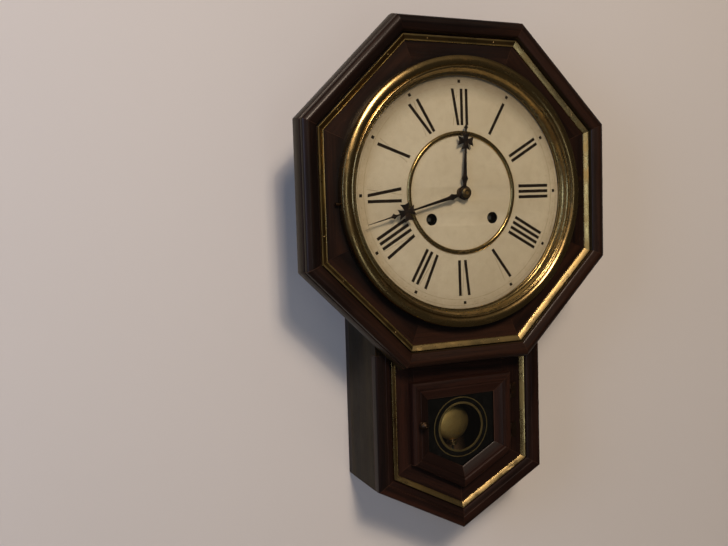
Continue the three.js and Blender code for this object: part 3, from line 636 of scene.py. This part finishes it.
WOOD = stained_wood("stained_wood")
WOOD_UPRIGHT = stained_wood("stained_wood_upright", (0.0068, 0.0046, 0.0026),
                            (0.0185, 0.0125, 0.005), (0.037, 0.0255, 0.0095), gloss=0.4,
                            upright=True)
OCTAGON_WOOD = stained_wood("stained_wood_octagon", mid=(0.0155, 0.0062, 0.0033),
                            light=(0.035, 0.0138, 0.0068), board=True)
PINE = raw_wood()
BEAD_BRASS = aged_brass("bead_brass", (0.66, 0.50, 0.23), (0.46, 0.33, 0.13), 0.14, 0.12)
REFLECTION_PAINTED_BRASS = aged_brass("bead_brass_painted_reflection", (0.66, 0.50, 0.21), (0.44, 0.32, 0.12), 0.2,
                            0.15, strip=BEAD_WIDTH)
# Painted shade: darker, duller brass for the upper left strip, for the moulding's shadow over it.
SHADE_PAINTED_BRASS = aged_brass("bead_brass_painted_shade", (0.24, 0.18, 0.065), (0.13, 0.095, 0.036), 0.3, 0.3,
                        strip=BEAD_WIDTH)
BEZEL_BRASS = aged_brass("bezel_brass", (0.41, 0.30, 0.13), (0.21, 0.14, 0.055), 0.11, 0.3,
                         ring=True)
NUT_BRASS = aged_brass("nut_brass", (0.17, 0.125, 0.06), (0.07, 0.048, 0.024), 0.3)
FITTING_BRASS = aged_brass("fitting_brass", (0.38, 0.26, 0.12), (0.16, 0.10, 0.045), 0.3)
DARK_BRASS = aged_brass("dark_brass", (0.055, 0.036, 0.022), (0.028, 0.018, 0.012), 0.36)
BOB_BRASS = aged_brass("bob_brass", (0.86, 0.62, 0.25), (0.62, 0.40, 0.14), 0.3, 0.25, ring=True)
MOVEMENT_BRASS = aged_brass("movement_brass", (0.60, 0.40, 0.15), (0.30, 0.175, 0.055), 0.24, 0.3,
                            brush=(1500, 1500, 8), slot="movement_brass")
DIAL_PAINT = dial_paint()
INK = ink("numeral_ink", (0.013, 0.0075, 0.004), (0.075, 0.05, 0.026), 0.56)
FADED_INK = ink("faded_ink", (0.30, 0.235, 0.145), (0.56, 0.47, 0.32), 0.46)
BLACK_STEEL = blackened_steel()
STEEL = steel()
IRON = cast_iron()
PAINT = black_paint()
GILT = aged_brass("gilt_leaf", (0.40, 0.29, 0.12), (0.25, 0.18, 0.075), 0.34, 0.4,
                  slot="painted_glass")
DIAL_GLASS = window_glass("bezel_glass_clear", "clear_glass", (0.97, 0.98, 0.965))
DOOR_PANE = window_glass("door_glass_clear", "painted_glass", (0.93, 0.95, 0.93))

# Strips 1 to 4 carry the painted reflection; strip 2, upper left, is also painted shade.
BEAD_FINISH = {1: REFLECTION_PAINTED_BRASS, 2: SHADE_PAINTED_BRASS, 3: REFLECTION_PAINTED_BRASS, 4: REFLECTION_PAINTED_BRASS}


# -------- octagon

def strip_section(width, base):
    """Section of a brass strip: a high round outer edge, a slope that is slightly
    domed, and a fine ridge along the low inner edge."""
    high = base + 2.5
    low = base + 0.75
    edge = 0.28
    ridge = 0.25
    head = 0.42
    foot = width - 2 * ridge
    start = high - 0.05
    fall = []
    for t in (0.2, 0.4, 0.6, 0.8, 1.0):
        height = start + (low - start) * t + 0.28 * t * (1 - t)
        fall.append((head + (foot - head) * t, height))
    return [(0, base), *arc(edge, high - edge, edge, 180, 66, 6), *fall,
            *arc(width - ridge, low, ridge, 150, 0, 6), (width, base)]


def octagon_corners(apothem):
    radius = apothem / math.cos(EIGHTH / 2)
    angles = [EIGHTH * (i + 0.5) for i in range(8)]
    return [(radius * math.cos(a), radius * math.sin(a)) for a in angles]


def mitre(corner):
    """How far a mitred end runs back for each millimetre inwards, from the corner's angle."""
    return 1 / math.tan(math.radians(corner) / 2)


def octagon_parts():
    back = BOARD.back
    inner = OCTAGON - 72
    rail = [
        (0, back), (0, back + 5.1), (0.5, back + 7.7), (1.4, back + 10.3), (1.9, FIELD + 1.5),
        (2.7, FIELD + 1.8), (2.3, FIELD + 2.7), (2.35, CREST - 3.4), (2.6, CREST - 2.4),
        (3.0, CREST - 1.7), (3.6, CREST - 1.22), (4.5, CREST - 0.74), (5.4, CREST - 0.3),
        (6.3, CREST + 0.04), (7.3, CREST + 0.22), (8.6, CREST + 0.1), (9.8, CREST - 0.22),
        (11.0, CREST - 0.52), (12.2, CREST - 0.84), (13.4, CREST - 1.2), (14.2, CREST - 1.5),
        (14.8, CREST - 1.9), (15.2, CREST - 2.5), (15.4, CREST - 3.3), (15.5, FIELD + 0.4),
        (15.8, FIELD), (inner, FIELD), (inner, back),
    ]
    seat_back = DIAL.back - 0.4
    seat_edge = DIAL.right + 0.5
    dial_seat = [(0, seat_back), (seat_edge, seat_back), (seat_edge, FIELD + 1), (0, FIELD + 1)]
    bead = strip_section(BEAD_WIDTH, FIELD)
    cut = mitre(135)
    corners = octagon_corners(OCTAGON)
    bead_corners = octagon_corners(OCTAGON - BEAD_INSET)
    bead_corners = [(x + BEAD_SHIFT, y - BEAD_SHIFT) for x, y in bead_corners]
    for i in range(8):
        j = (i + 1) % 8
        lengthwise(f"octagon_rail_{i + 1}", corners[i], corners[j], cut, cut, rail, "case",
                   OCTAGON_WOOD, ("octagon_board", "octagon_moulding"), i + 1, recess=dial_seat)
        lengthwise(f"octagon_bead_{i + 1}", bead_corners[i], bead_corners[j], cut, cut, bead,
                   "case", BEAD_FINISH.get(i, BEAD_BRASS), ("octagon_bead",), i + 1, sharp=60)


# -------- drop front

def drop_corners(inset, top):
    """Corners of the V-bottomed outline moved inwards, anticlockwise from the top right."""
    half = HALF_WIDTH - inset
    tip = TIP + inset / math.cos(VEE)
    corner = tip + half * math.tan(VEE)
    return [(half, top), (-half, top), (-half, corner), (0, tip), (half, corner)]


def drop_runs(inset, top, closed=False):
    """The straight runs of the outline: start, end, and how each end is cut."""
    p = drop_corners(inset, top)
    top_cut = mitre(90) if closed else 0
    side_cut = mitre(90 + math.degrees(VEE))
    tip_cut = mitre(180 - 2 * math.degrees(VEE))
    runs = [
        ("left", p[1], p[2], top_cut, side_cut),
        ("vee_left", p[2], p[3], side_cut, tip_cut),
        ("vee_right", p[3], p[4], tip_cut, side_cut),
        ("right", p[4], p[0], side_cut, top_cut),
    ]
    if closed:
        runs.append(("top", p[0], p[1], top_cut, top_cut))
    return runs


def drop_parts():
    back = PANEL.back
    field = PANEL.front
    top = PANEL.top
    crest = DROP_CREST
    opening = HALF_WIDTH - DOOR_OPENING
    rail = [
        (0, back), (0, crest - 1.7), *arc(1.7, crest - 1.7, 1.7, 180, 90, 5), (8.6, crest),
        (9.0, crest - 0.4), (9.5, crest - 0.45), (9.9, crest - 0.1), (11.2, crest - 0.3),
        (12.6, crest - 0.62), (13.8, crest - 0.95), (14.4, crest - 1.25), (14.8, crest - 1.75),
        (15.0, crest - 2.5), (15.2, field), (opening, field), (opening, back),
    ]
    bead = strip_section(DROP_BEAD_WIDTH, field)
    for i, (side, *run) in enumerate(drop_runs(0, top)):
        lengthwise(f"drop_rail_{side}", *run, rail, "case", WOOD, ("drop_panel", "drop_moulding"),
                   i + 11)
    for i, (side, *run) in enumerate(drop_runs(DROP_BEAD_INSET, top - 4)):
        lengthwise(f"drop_bead_{side}", *run, bead, "case", BEAD_BRASS, ("drop_bead",), i + 17,
                   sharp=60)
    upper = DOOR.top - 4.5
    size = (2 * DOOR_OPENING - 0.4, top - upper - 0.5, field - back)
    block("drop_top_rail", size, (0, (top + upper) / 2, (field + back) / 2), "case", WOOD, 0.2)


# -------- drop door

def door_parts():
    back = DOOR.back
    crest = DOOR.front
    seat = DOOR_GLASS.front + 0.3
    rail = [
        (0, back), (0, crest - 2.2), (0.25, crest - 1.5), (0.9, crest - 0.7), (2.0, crest - 0.2),
        (3.4, crest), (6.6, crest - 0.1), (7.3, crest - 0.45), (7.6, crest - 1.0),
        (8.3, crest - 1.15), (9.0, crest - 1.0), (10.6, crest - 1.5), (13.4, crest - 2.7),
        (15.6, crest - 3.7), (16.6, crest - 4.1), (17.0, crest - 4.5), (17.0, seat),
        (13.2, seat), (13.2, back),
    ]
    for i, (side, *run) in enumerate(drop_runs(HALF_WIDTH - DOOR.right, DOOR.top, closed=True)):
        lengthwise(f"door_rail_{side}", *run, rail, "door", WOOD, ("door_frame",), i + 23)
    edge = drop_corners(HALF_WIDTH - DOOR_GLASS.right, DOOR_GLASS.top)
    glass = DOOR_GLASS.back
    cutout("door_pane", [edge], glass + 0.5, DOOR_GLASS.front, placed(), "door", DOOR_PANE,
           stands_for=("door_glass",))
    cutout("door_paint", [edge, circle(*WINDOW, WINDOW_CLEAR + 0.6)], glass, glass + 0.2, placed(),
           "door", PAINT, bevel=0.02)
    rings = (("door_gilt_ring", WINDOW_CLEAR, WINDOW_RING), ("door_gilt_line", *WINDOW_LINE))
    for name, inner, outer in rings:
        cutout(name, [circle(*WINDOW, outer), circle(*WINDOW, inner)], glass + 0.24, glass + 0.4,
               placed(), "door", GILT, bevel=0.02)
    knob = extent("door_knob")
    low = back + 5
    turned("door_turn_knob", [
        (0, low), (1.5, low), (1.5, crest + 0.3), (2.6, crest + 0.4), (2.7, crest + 0.9),
        (1.9, crest + 1.5), (1.7, crest + 2.6), *arc(0, crest + 4.7, 3.9, -50, 90, 12)[:-1],
        (0, crest + 8.0),
    ], placed(knob.x, knob.top - 4.2), "door_latch", DARK_BRASS, segments=48)


# -------- dial

# The numerals anticlockwise from the right, the steps between their letters, and widths
HOURS = ["III", "II", "I", "XII", "XI", "X", "IX", "VIII", "VII", "VI", "V", "IIII"]
STEP = {("I", "I"): 5.0, ("I", "X"): 5.1, ("V", "I"): 9.2, ("X", "I"): 9.0}
WIDTH = {"I": 0, "V": 7.0, "X": 5.2}


def strokes(word):
    """The strokes of a numeral as (sideways at the foot, sideways at the head, is thin)."""
    at = 0
    starts = []
    for i, letter in enumerate(word):
        if i:
            at += STEP[word[i - 1], letter]
        starts.append((letter, at))
    middle = (at + WIDTH[word[-1]]) / 2
    made = []
    for letter, left in starts:
        left -= middle
        if letter == "I":
            made.append((left, left, False))
        elif letter == "V":
            made.append((left + 3.2, left, False))
            made.append((left + 4.0, left + 7.0, True))
        else:
            made.append((left + 5.2, left, False))
            made.append((left, left + 5.2, True))
    return made


def on_dial(radius, sideways, angle):
    """A point at a radius and a distance clockwise from the line at an angle."""
    across = math.cos(angle)
    up = math.sin(angle)
    return (radius * across + sideways * up, radius * up - sideways * across)


def bar(foot, head, width, angle, inner=NUMERAL_INNER, outer=NUMERAL_OUTER):
    """A stroke's outline, given how far sideways its foot and head lie."""
    half = width / 2
    return [on_dial(inner, foot - half, angle), on_dial(inner, foot + half, angle),
            on_dial(outer, head + half, angle), on_dial(outer, head - half, angle)]


def thin_pieces(foot, head, angle, crossed):
    """A thin stroke, broken where a thick one crosses it."""
    if not crossed:
        return [bar(foot, head, HAIRLINE, angle)]
    middle = (NUMERAL_INNER + NUMERAL_OUTER) / 2
    slant = (head - foot) / (NUMERAL_OUTER - NUMERAL_INNER)
    reach = 6.4
    made = []
    for inner, outer in ((NUMERAL_INNER, middle - reach), (middle + reach, NUMERAL_OUTER)):
        ends = [foot + slant * (radius - NUMERAL_INNER) for radius in (inner, outer)]
        made.append(bar(*ends, HAIRLINE, angle, inner, outer))
    return made


def printing():
    """Outlines of what is printed: the thick strokes and hour marks, then the thin ones."""
    thick = []
    thin = []
    half = HOUR_MARK / 2
    for i, word in enumerate(HOURS):
        angle = math.radians(30 * i + DIAL_TURN)
        for foot, head, is_thin in strokes(word):
            if is_thin:
                thin += thin_pieces(foot, head, angle, crossed="X" in word)
            else:
                thick.append(bar(foot, head, BAR, angle))
        thick.append([on_dial(TRACK_RADIUS + a, b, angle) for a, b in
                      ((-half, -half), (-half, half), (half, half), (half, -half))])
    for i in range(60):
        if i % 5:
            spot = on_dial(TRACK_RADIUS, 0, math.radians(6 * i + DIAL_TURN))
            thin.append(circle(*spot, MINUTE_DOT, 10))
    return thick, thin


def dial_parts():
    front = DIAL.front
    arbors = (("time", TIME_ARBOR), ("strike", STRIKE_ARBOR))
    holes = [circle(arbor.x, arbor.y, WINDING_HOLE, 64) for _, arbor in arbors]
    cutout("dial_face", [circle(0, 0, DIAL.right, 256), *holes, circle(0, 0, CENTRE_HOLE, 64)],
           DIAL.back, front, placed(), "case", DIAL_PAINT, bevel=0.18, stands_for=("dial",))
    outer = WINDING_HOLE - 0.05
    inner = WINDING_HOLE - 0.4
    low = DIAL.back - 2.4
    high = front + 0.05
    # Painted shade: a black tube inside each winding hole, for the dark inside of the case.
    for name, arbor in arbors:
        turned(f"{name}_hole_shade_tube", [(outer, low), (outer, high), (inner, high), (inner, low)],
               placed(arbor.x, arbor.y), "case", PAINT)

    thick, thin = printing()
    low = front + 0.005
    cutout("numerals", thick, low, front + 0.055, placed(), "case", INK, bevel=0.01, steps=0)
    cutout("numeral_hairlines", thin, low, front + 0.04, placed(), "case", FADED_INK, bevel=0.008,
           steps=0)
    for name, radius in TRACK_LINES:
        rings = [circle(0, 0, radius + side * TRACK_LINE / 2, 200) for side in (1, -1)]
        cutout(f"track_line_{name}", rings, low, front + 0.04, placed(), "case", FADED_INK,
               bevel=0.008, steps=0)

    low = DIAL_RING.back
    middle = 52.7
    half = DIAL_RING.right - middle
    dome = [(middle + half * x, low + 1.6 * y) for x, y in arc(0, 0, 1, 0, 180, 14)]
    turned("dial_ring_brass", [*dome, (middle - half, low - 0.2), (middle + half, low - 0.2)],
           placed(), "case", BEZEL_BRASS, segments=200, stands_for=("dial_ring",), sharp=50)


# -------- bezel

def bezel_parts():
    low = BEZEL.back
    top = BEZEL.front
    outer = BEZEL.right
    lip = 107.9                                      # inner edge, over the glass
    roll = 114.1                                     # crest of the broad outer roll
    outside = 9                                      # its bend outside the crest
    inside = 5                                       # and inside it
    pane = BEZEL_GLASS.right
    seat = BEZEL_GLASS.front + 0.06
    under = BEZEL_GLASS.back
    shell = [
        (outer, low), (outer, top - 5.4), (outer - 0.15, top - 4.3), (outer - 0.5, top - 3.3),
        (outer - 1.1, top - 2.4), (outer - 1.8, top - 1.8),
        *arc(roll, top - outside - 0.05, outside, 62, 90, 8),
        *arc(roll, top - inside - 0.05, inside, 98, 130, 5), (110.65, top - 1.4),
        *arc(109.2, top - 2.2, 1.35, 25, 170, 12), (lip, seat + 0.02), (lip + 0.1, seat),
        (pane + 0.25, seat), (pane + 0.4, under - 0.1), (112.4, under - 0.4), (115.2, top - 2.9),
        (117.3, top - 5.0), (118.1, top - 6.4), (118.2, low),
    ]
    turned("bezel_rim", shell, placed(), "bezel", BEZEL_BRASS, segments=256,
           stands_for=("bezel",), sharp=50)
    glass = [(0, under), (pane - 0.1, under), (pane - 0.1, BEZEL_GLASS.front),
             (0, BEZEL_GLASS.front)]
    turned("bezel_pane", glass, placed(), "bezel", DIAL_GLASS, segments=128,
           stands_for=("bezel_glass",))
    inner = SIGHT.right
    front = SIGHT.front
    low = DIAL.front + 2.2
    sight = [
        (inner, front - 0.7), (inner, front), (108.4, front - 0.05), (107.7, front - 0.9),
        (107.0, front - 2.2), (106.2, low + 1.5), (105.3, low + 0.95), (104.5, low + 0.7),
        *arc(103.6, low, 0.62, 60, 178, 8), (103.0, low - 0.5), (103.4, low - 0.6),
        (105.5, low - 0.2), (107.0, low + 0.7), (107.9, low + 1.4), (108.3, front - 1.6),
        (108.8, front - 0.8),
    ]
    turned("sight_ring_brass", sight, placed(), "bezel", BEZEL_BRASS, segments=256,
           stands_for=("sight_ring",), sharp=50)


# -------- hands

def curve_in(start, end, pull, count=5):
    """Points after start along a hollow curve to end, drawn towards pull."""
    points = []
    for i in range(1, count + 1):
        t = i / count
        x = (1 - t) ** 2 * start[0] + 2 * t * (1 - t) * pull[0] + t * t * end[0]
        y = (1 - t) ** 2 * start[1] + 2 * t * (1 - t) * pull[1] + t * t * end[1]
        points.append((x, y))
    return points


def cross_side(at, size, stem_in, stem_out):
    """One side of a Maltese cross centred along a hand, from its inner to its outer arm."""
    tip = 0.56 * size
    waist = 0.27 * size
    notch = 0.86 * size
    points = [(at - notch, stem_in), (at - size, tip)]
    points += curve_in((at - size, tip), (at - waist, waist), (at - 0.45 * size, waist))
    points += curve_in((at - waist, waist), (at - tip, size), (at - waist, 0.45 * size))
    points += [(at, notch), (at + tip, size)]
    points += curve_in((at + tip, size), (at + waist, waist), (at + waist, 0.45 * size))
    points += curve_in((at + waist, waist), (at + size, tip), (at + 0.45 * size, waist))
    points.append((at + notch, stem_out))
    return points


def hand_outline(hub, side):
    """A closed outline from the hub round to itself; `side` is the upper edge outwards."""
    start = math.degrees(math.asin(side[0][1] / hub))
    round_hub = arc(0, 0, hub, 360 - start, start, 40)
    return round_hub + side[1:] + [(x, -y) for x, y in reversed(side[1:]) if y > 0]


def hand(name, side, hub, bore, collar, limits, angle, bevel):
    """A flat blade cut from one side's outline, and the collar behind it."""
    back = limits.back + 0.8
    cutout(f"{name}_blade", [hand_outline(hub, side), circle(0, 0, bore, 48)], back, back + BLADE,
           placed(turn=angle), name, BLACK_STEEL, bevel, (name,))
    turned(f"{name}_collar", [(bore, back - 0.8), (collar - 0.2, back - 0.8),
                              (collar, back - 0.4), (collar, back), (bore, back)],
           placed(), name, BLACK_STEEL)


def hand_parts():
    bulge = [(7.5, 1.5), (9.5, 1.9), (11.4, 2.6), (12.6, 3.2), (13.6, 2.7), (15.4, 1.9),
             (18, 1.65)]
    hour = [
        (0, 1.5), *bulge, (28, 1.35), (36.5, 0.95), *cross_side(45.5, 7.7, 0.9, 0.9), (54.6, 0.75),
        *curve_in((54.6, 0.75), (57.5, 2.1), (56.8, 0.9), 3),
        *curve_in((57.5, 2.1), (62, 0), (58.4, 0.7), 4),
    ]
    hand("hour_hand", hour, 6.4, HOUR_BORE, 6.3, HOUR_HAND, HOUR_ANGLE, 0.16)
    minute = [
        (0, 1.3), *[(x + 1.6, y * 0.92) for x, y in bulge], (34, 1.15), (50.5, 0.85),
        *cross_side(60.3, 8.0, 0.85, 0.8), (69.4, 0.6),
        *curve_in((69.4, 0.6), (73, 2.55), (71.6, 0.9), 3),
        *curve_in((73, 2.55), (76.6, 0.6), (74.4, 0.9), 3), (88, 0.45), (98, 0.22), (98.3, 0),
    ]
    hand("minute_hand", minute, 5.3, MINUTE_BORE, 5.1, MINUTE_HAND, MINUTE_ANGLE, 0.14)
    low = NUT.back
    turned("hand_nut_dome", [
        (1.7, low), (4.5, low), (4.6, low + 0.25), (4.35, low + 0.65), (3.6, low + 1.1),
        (2.6, low + 1.42), (1.9, NUT.front), (1.7, NUT.front - 0.1),
    ], placed(), "minute_hand", NUT_BRASS, stands_for=("hand_nut",), sharp=50)


# -------- pendulum bob

def pendulum_parts():
    middle = (BOB.back + BOB.front) / 2
    half = BOB.front - middle
    outer = BOB.right
    front = [(outer * x, half * y ** 0.9) for x, y in arc(0, 0, 1, 0, 90, 18)[1:]]
    profile = [(0, middle + half)]
    profile += [(r, middle + f) for r, f in reversed(front[:-1])]
    profile += [(outer, middle + 0.35), (outer, middle - 0.35)]
    profile += [(r, middle - f) for r, f in front[:-1]]
    profile += [(0, middle - half)]
    turned("pendulum_bob_brass", profile, placed(BOB.x, BOB.y), "pendulum", BOB_BRASS, segments=96,
           stands_for=("pendulum_bob",), sharp=60)


# -------- small fixings

def bead_pins():
    """Two small nails through each brass strip of the octagon."""
    low = FIELD + PIN_FOOT
    high = FIELD + PIN_HEAD
    head = [(0, low), (0.65, low), (0.6, high - 0.2), (0.35, high - 0.04), (0, high)]
    corners = octagon_corners(OCTAGON - BEAD_INSET - BEAD_WIDTH / 2)
    count = 0
    for i, start in enumerate(corners):
        end = corners[(i + 1) % 8]
        for share in (0.2, 0.8):
            x = start[0] + (end[0] - start[0]) * share + BEAD_SHIFT
            y = start[1] + (end[1] - start[1]) * share - BEAD_SHIFT
            count += 1
            turned(f"bead_pin_{count}", head, placed(x, y), "case", FITTING_BRASS, segments=16)


# -------- CAD nodes that stay

def dress_nodes():
    """Gives every node of the frame that still shows its own finish."""
    case = ["case_top", "case_bottom_left", "case_bottom_right", "back_board"]
    sides = ["case_side_left", "case_side_right"]
    small_brass = ["bezel_pull", "bezel_hinge", "bezel_leaf", "door_hinge_upper",
                   "door_hinge_lower", "door_leaf_upper", "door_leaf_lower", "door_knob"]
    chosen = dict.fromkeys(sides, WOOD_UPRIGHT) | dict.fromkeys(small_brass, DARK_BRASS)
    by_slot = {
        "stained_wood": WOOD, "raw_wood": PINE, "case_brass": FITTING_BRASS,
        "movement_brass": MOVEMENT_BRASS, "steel": STEEL, "blued_steel": BLACK_STEEL,
        "cast_iron": IRON, "dial_enamel": DIAL_PAINT, "clear_glass": DIAL_GLASS,
        "painted_glass": PAINT,
    }
    slots = {row["node"]: row["material_slot"] for row in frame["record"]["subparts"]}
    for name, node in frame["nodes"].items():
        look = chosen.get(name, by_slot[slots[name]])
        node.data.materials.clear()
        node.data.materials.append(look.material)
    for name in case + sides:
        soften(frame["nodes"][name], 0.5)


# -------- floor, wall, light, camera

def plain_surface(name, colour, rough):
    look = Look(name, "")
    soft = look.noise(look.place(), scale=1.4, detail=3)
    tone = look.mix(look.between(soft, 0.3, 0.7), colour, tuple(0.96 * c for c in colour))
    return look.shade(Base_Color=tone, Roughness=rough)


def sheet(name, look, corners):
    """One flat face of the backdrop."""
    mesh = bpy.data.meshes.new(name)
    mesh.from_pydata(corners, [], [(0, 1, 2, 3)])
    mesh.materials.append(look.material)
    made = bpy.data.objects.new(name, mesh)
    bpy.context.scene.collection.objects.link(made)
    return made


def backdrop():
    """A pale floor, and a pale wall close behind that shows only from its front."""
    wall_look = plain_surface("pale_wall", (0.70, 0.69, 0.67), 0.85)
    backface = wall_look.node("NewGeometry").outputs["Backfacing"]
    clear = wall_look.node("BsdfTransparent").outputs[0]
    one_sided = wall_look.node("MixShader", {
        0: backface, 1: wall_look.shader.outputs[0], 2: clear,
    }).outputs[0]
    surface = wall_look.tree.nodes["Material Output"].inputs["Surface"]
    wall_look.tree.links.new(one_sided, surface)
    floor_look = plain_surface("pale_floor", (0.62, 0.58, 0.54), 0.8)
    reach = 9
    low = -1.25
    high = 5
    near = 0.001
    wall = sheet("wall", wall_look, [(-reach, near, low), (reach, near, low),
                                     (reach, near, high), (-reach, near, high)])
    wall.visible_shadow = False
    floor = sheet("floor", floor_look, [(-reach, -reach, low), (reach, -reach, low),
                                        (reach, reach, low), (-reach, reach, low)])
    floor.visible_glossy = False


def area_light(name, spot, target, width, height, power, colour):
    light = bpy.data.lights.new(name, "AREA")
    light.shape = "RECTANGLE"
    light.size = width
    light.size_y = height
    light.energy = power
    light.color = colour
    made = bpy.data.objects.new(name, light)
    bpy.context.scene.collection.objects.link(made)
    made.location = spot
    made.rotation_mode = "QUATERNION"
    made.rotation_quaternion = (Vector(target) - Vector(spot)).to_track_quat("-Z", "Y")


def lighting():
    """A warm lamp high in front, cool daylight from the left, and a dim room."""
    world = bpy.data.worlds.new("dim_room")
    bpy.context.scene.world = world
    world.use_nodes = True
    background = world.node_tree.nodes["Background"].inputs
    background["Color"].default_value = (1.0, 0.86, 0.72, 1)
    background["Strength"].default_value = 0.042
    middle = (0, -0.08, -0.05)
    # name, place, width, height, power in watts, colour
    for name, spot, width, height, power, colour in (
        ("lamp_shade", (-0.27, -2.1, 1.32), 0.60, 0.60, 33, (1.0, 0.79, 0.62)),
        ("lamp_bulb", (-0.27, -2.09, 1.27), 0.10, 0.10, 6, (1.0, 0.84, 0.68)),
        ("daylight", (-1.4, -0.82, 0.3), 0.7, 1.0, 8, (0.54, 0.68, 1.0)),
        ("far_window", (-0.10, -2.50, -0.35), 0.36, 1.30, 1.7, (0.84, 0.93, 1.0)),
        ("ceiling", (1.1, -1.7, 1.7), 1.60, 1.60, 0.6, (1.0, 0.86, 0.70)),
        ("behind", (0.6, 1.8, 0.8), 1.4, 1.4, 14, (1.0, 0.96, 0.92)),
    ):
        area_light(name, spot, middle, width, height, power, colour)


def camera():
    """Stands to the left of the clock and a little below its dial, rolled slightly."""
    spot = Vector((-0.3607, -0.6953, -0.0183))
    azimuth = math.radians(-23.11)
    elevation = math.radians(4.05)
    roll = math.radians(-1.76)
    level = Vector((math.cos(azimuth), math.sin(azimuth), 0))
    flat_ahead = Vector((-math.sin(azimuth), math.cos(azimuth), 0))
    ahead = math.cos(elevation) * flat_ahead - math.sin(elevation) * Vector((0, 0, 1))
    upright = level.cross(ahead)
    right = math.cos(roll) * level + math.sin(roll) * upright
    up = -math.sin(roll) * level + math.cos(roll) * upright
    lens = bpy.data.cameras.new("camera")
    lens.lens = 39.32
    lens.sensor_width = 36
    lens.clip_start = 0.01
    made = bpy.data.objects.new("camera", lens)
    bpy.context.scene.collection.objects.link(made)
    turn = Matrix((right, up, -ahead)).transposed().to_4x4()
    made.matrix_world = Matrix.Translation(spot) @ turn
    bpy.context.scene.camera = made


camera()
lighting()
backdrop()
dress_nodes()
octagon_parts()
drop_parts()
door_parts()
dial_parts()
bezel_parts()
hand_parts()
pendulum_parts()
bead_pins()
bpy.context.scene.view_settings.view_transform = "Standard"
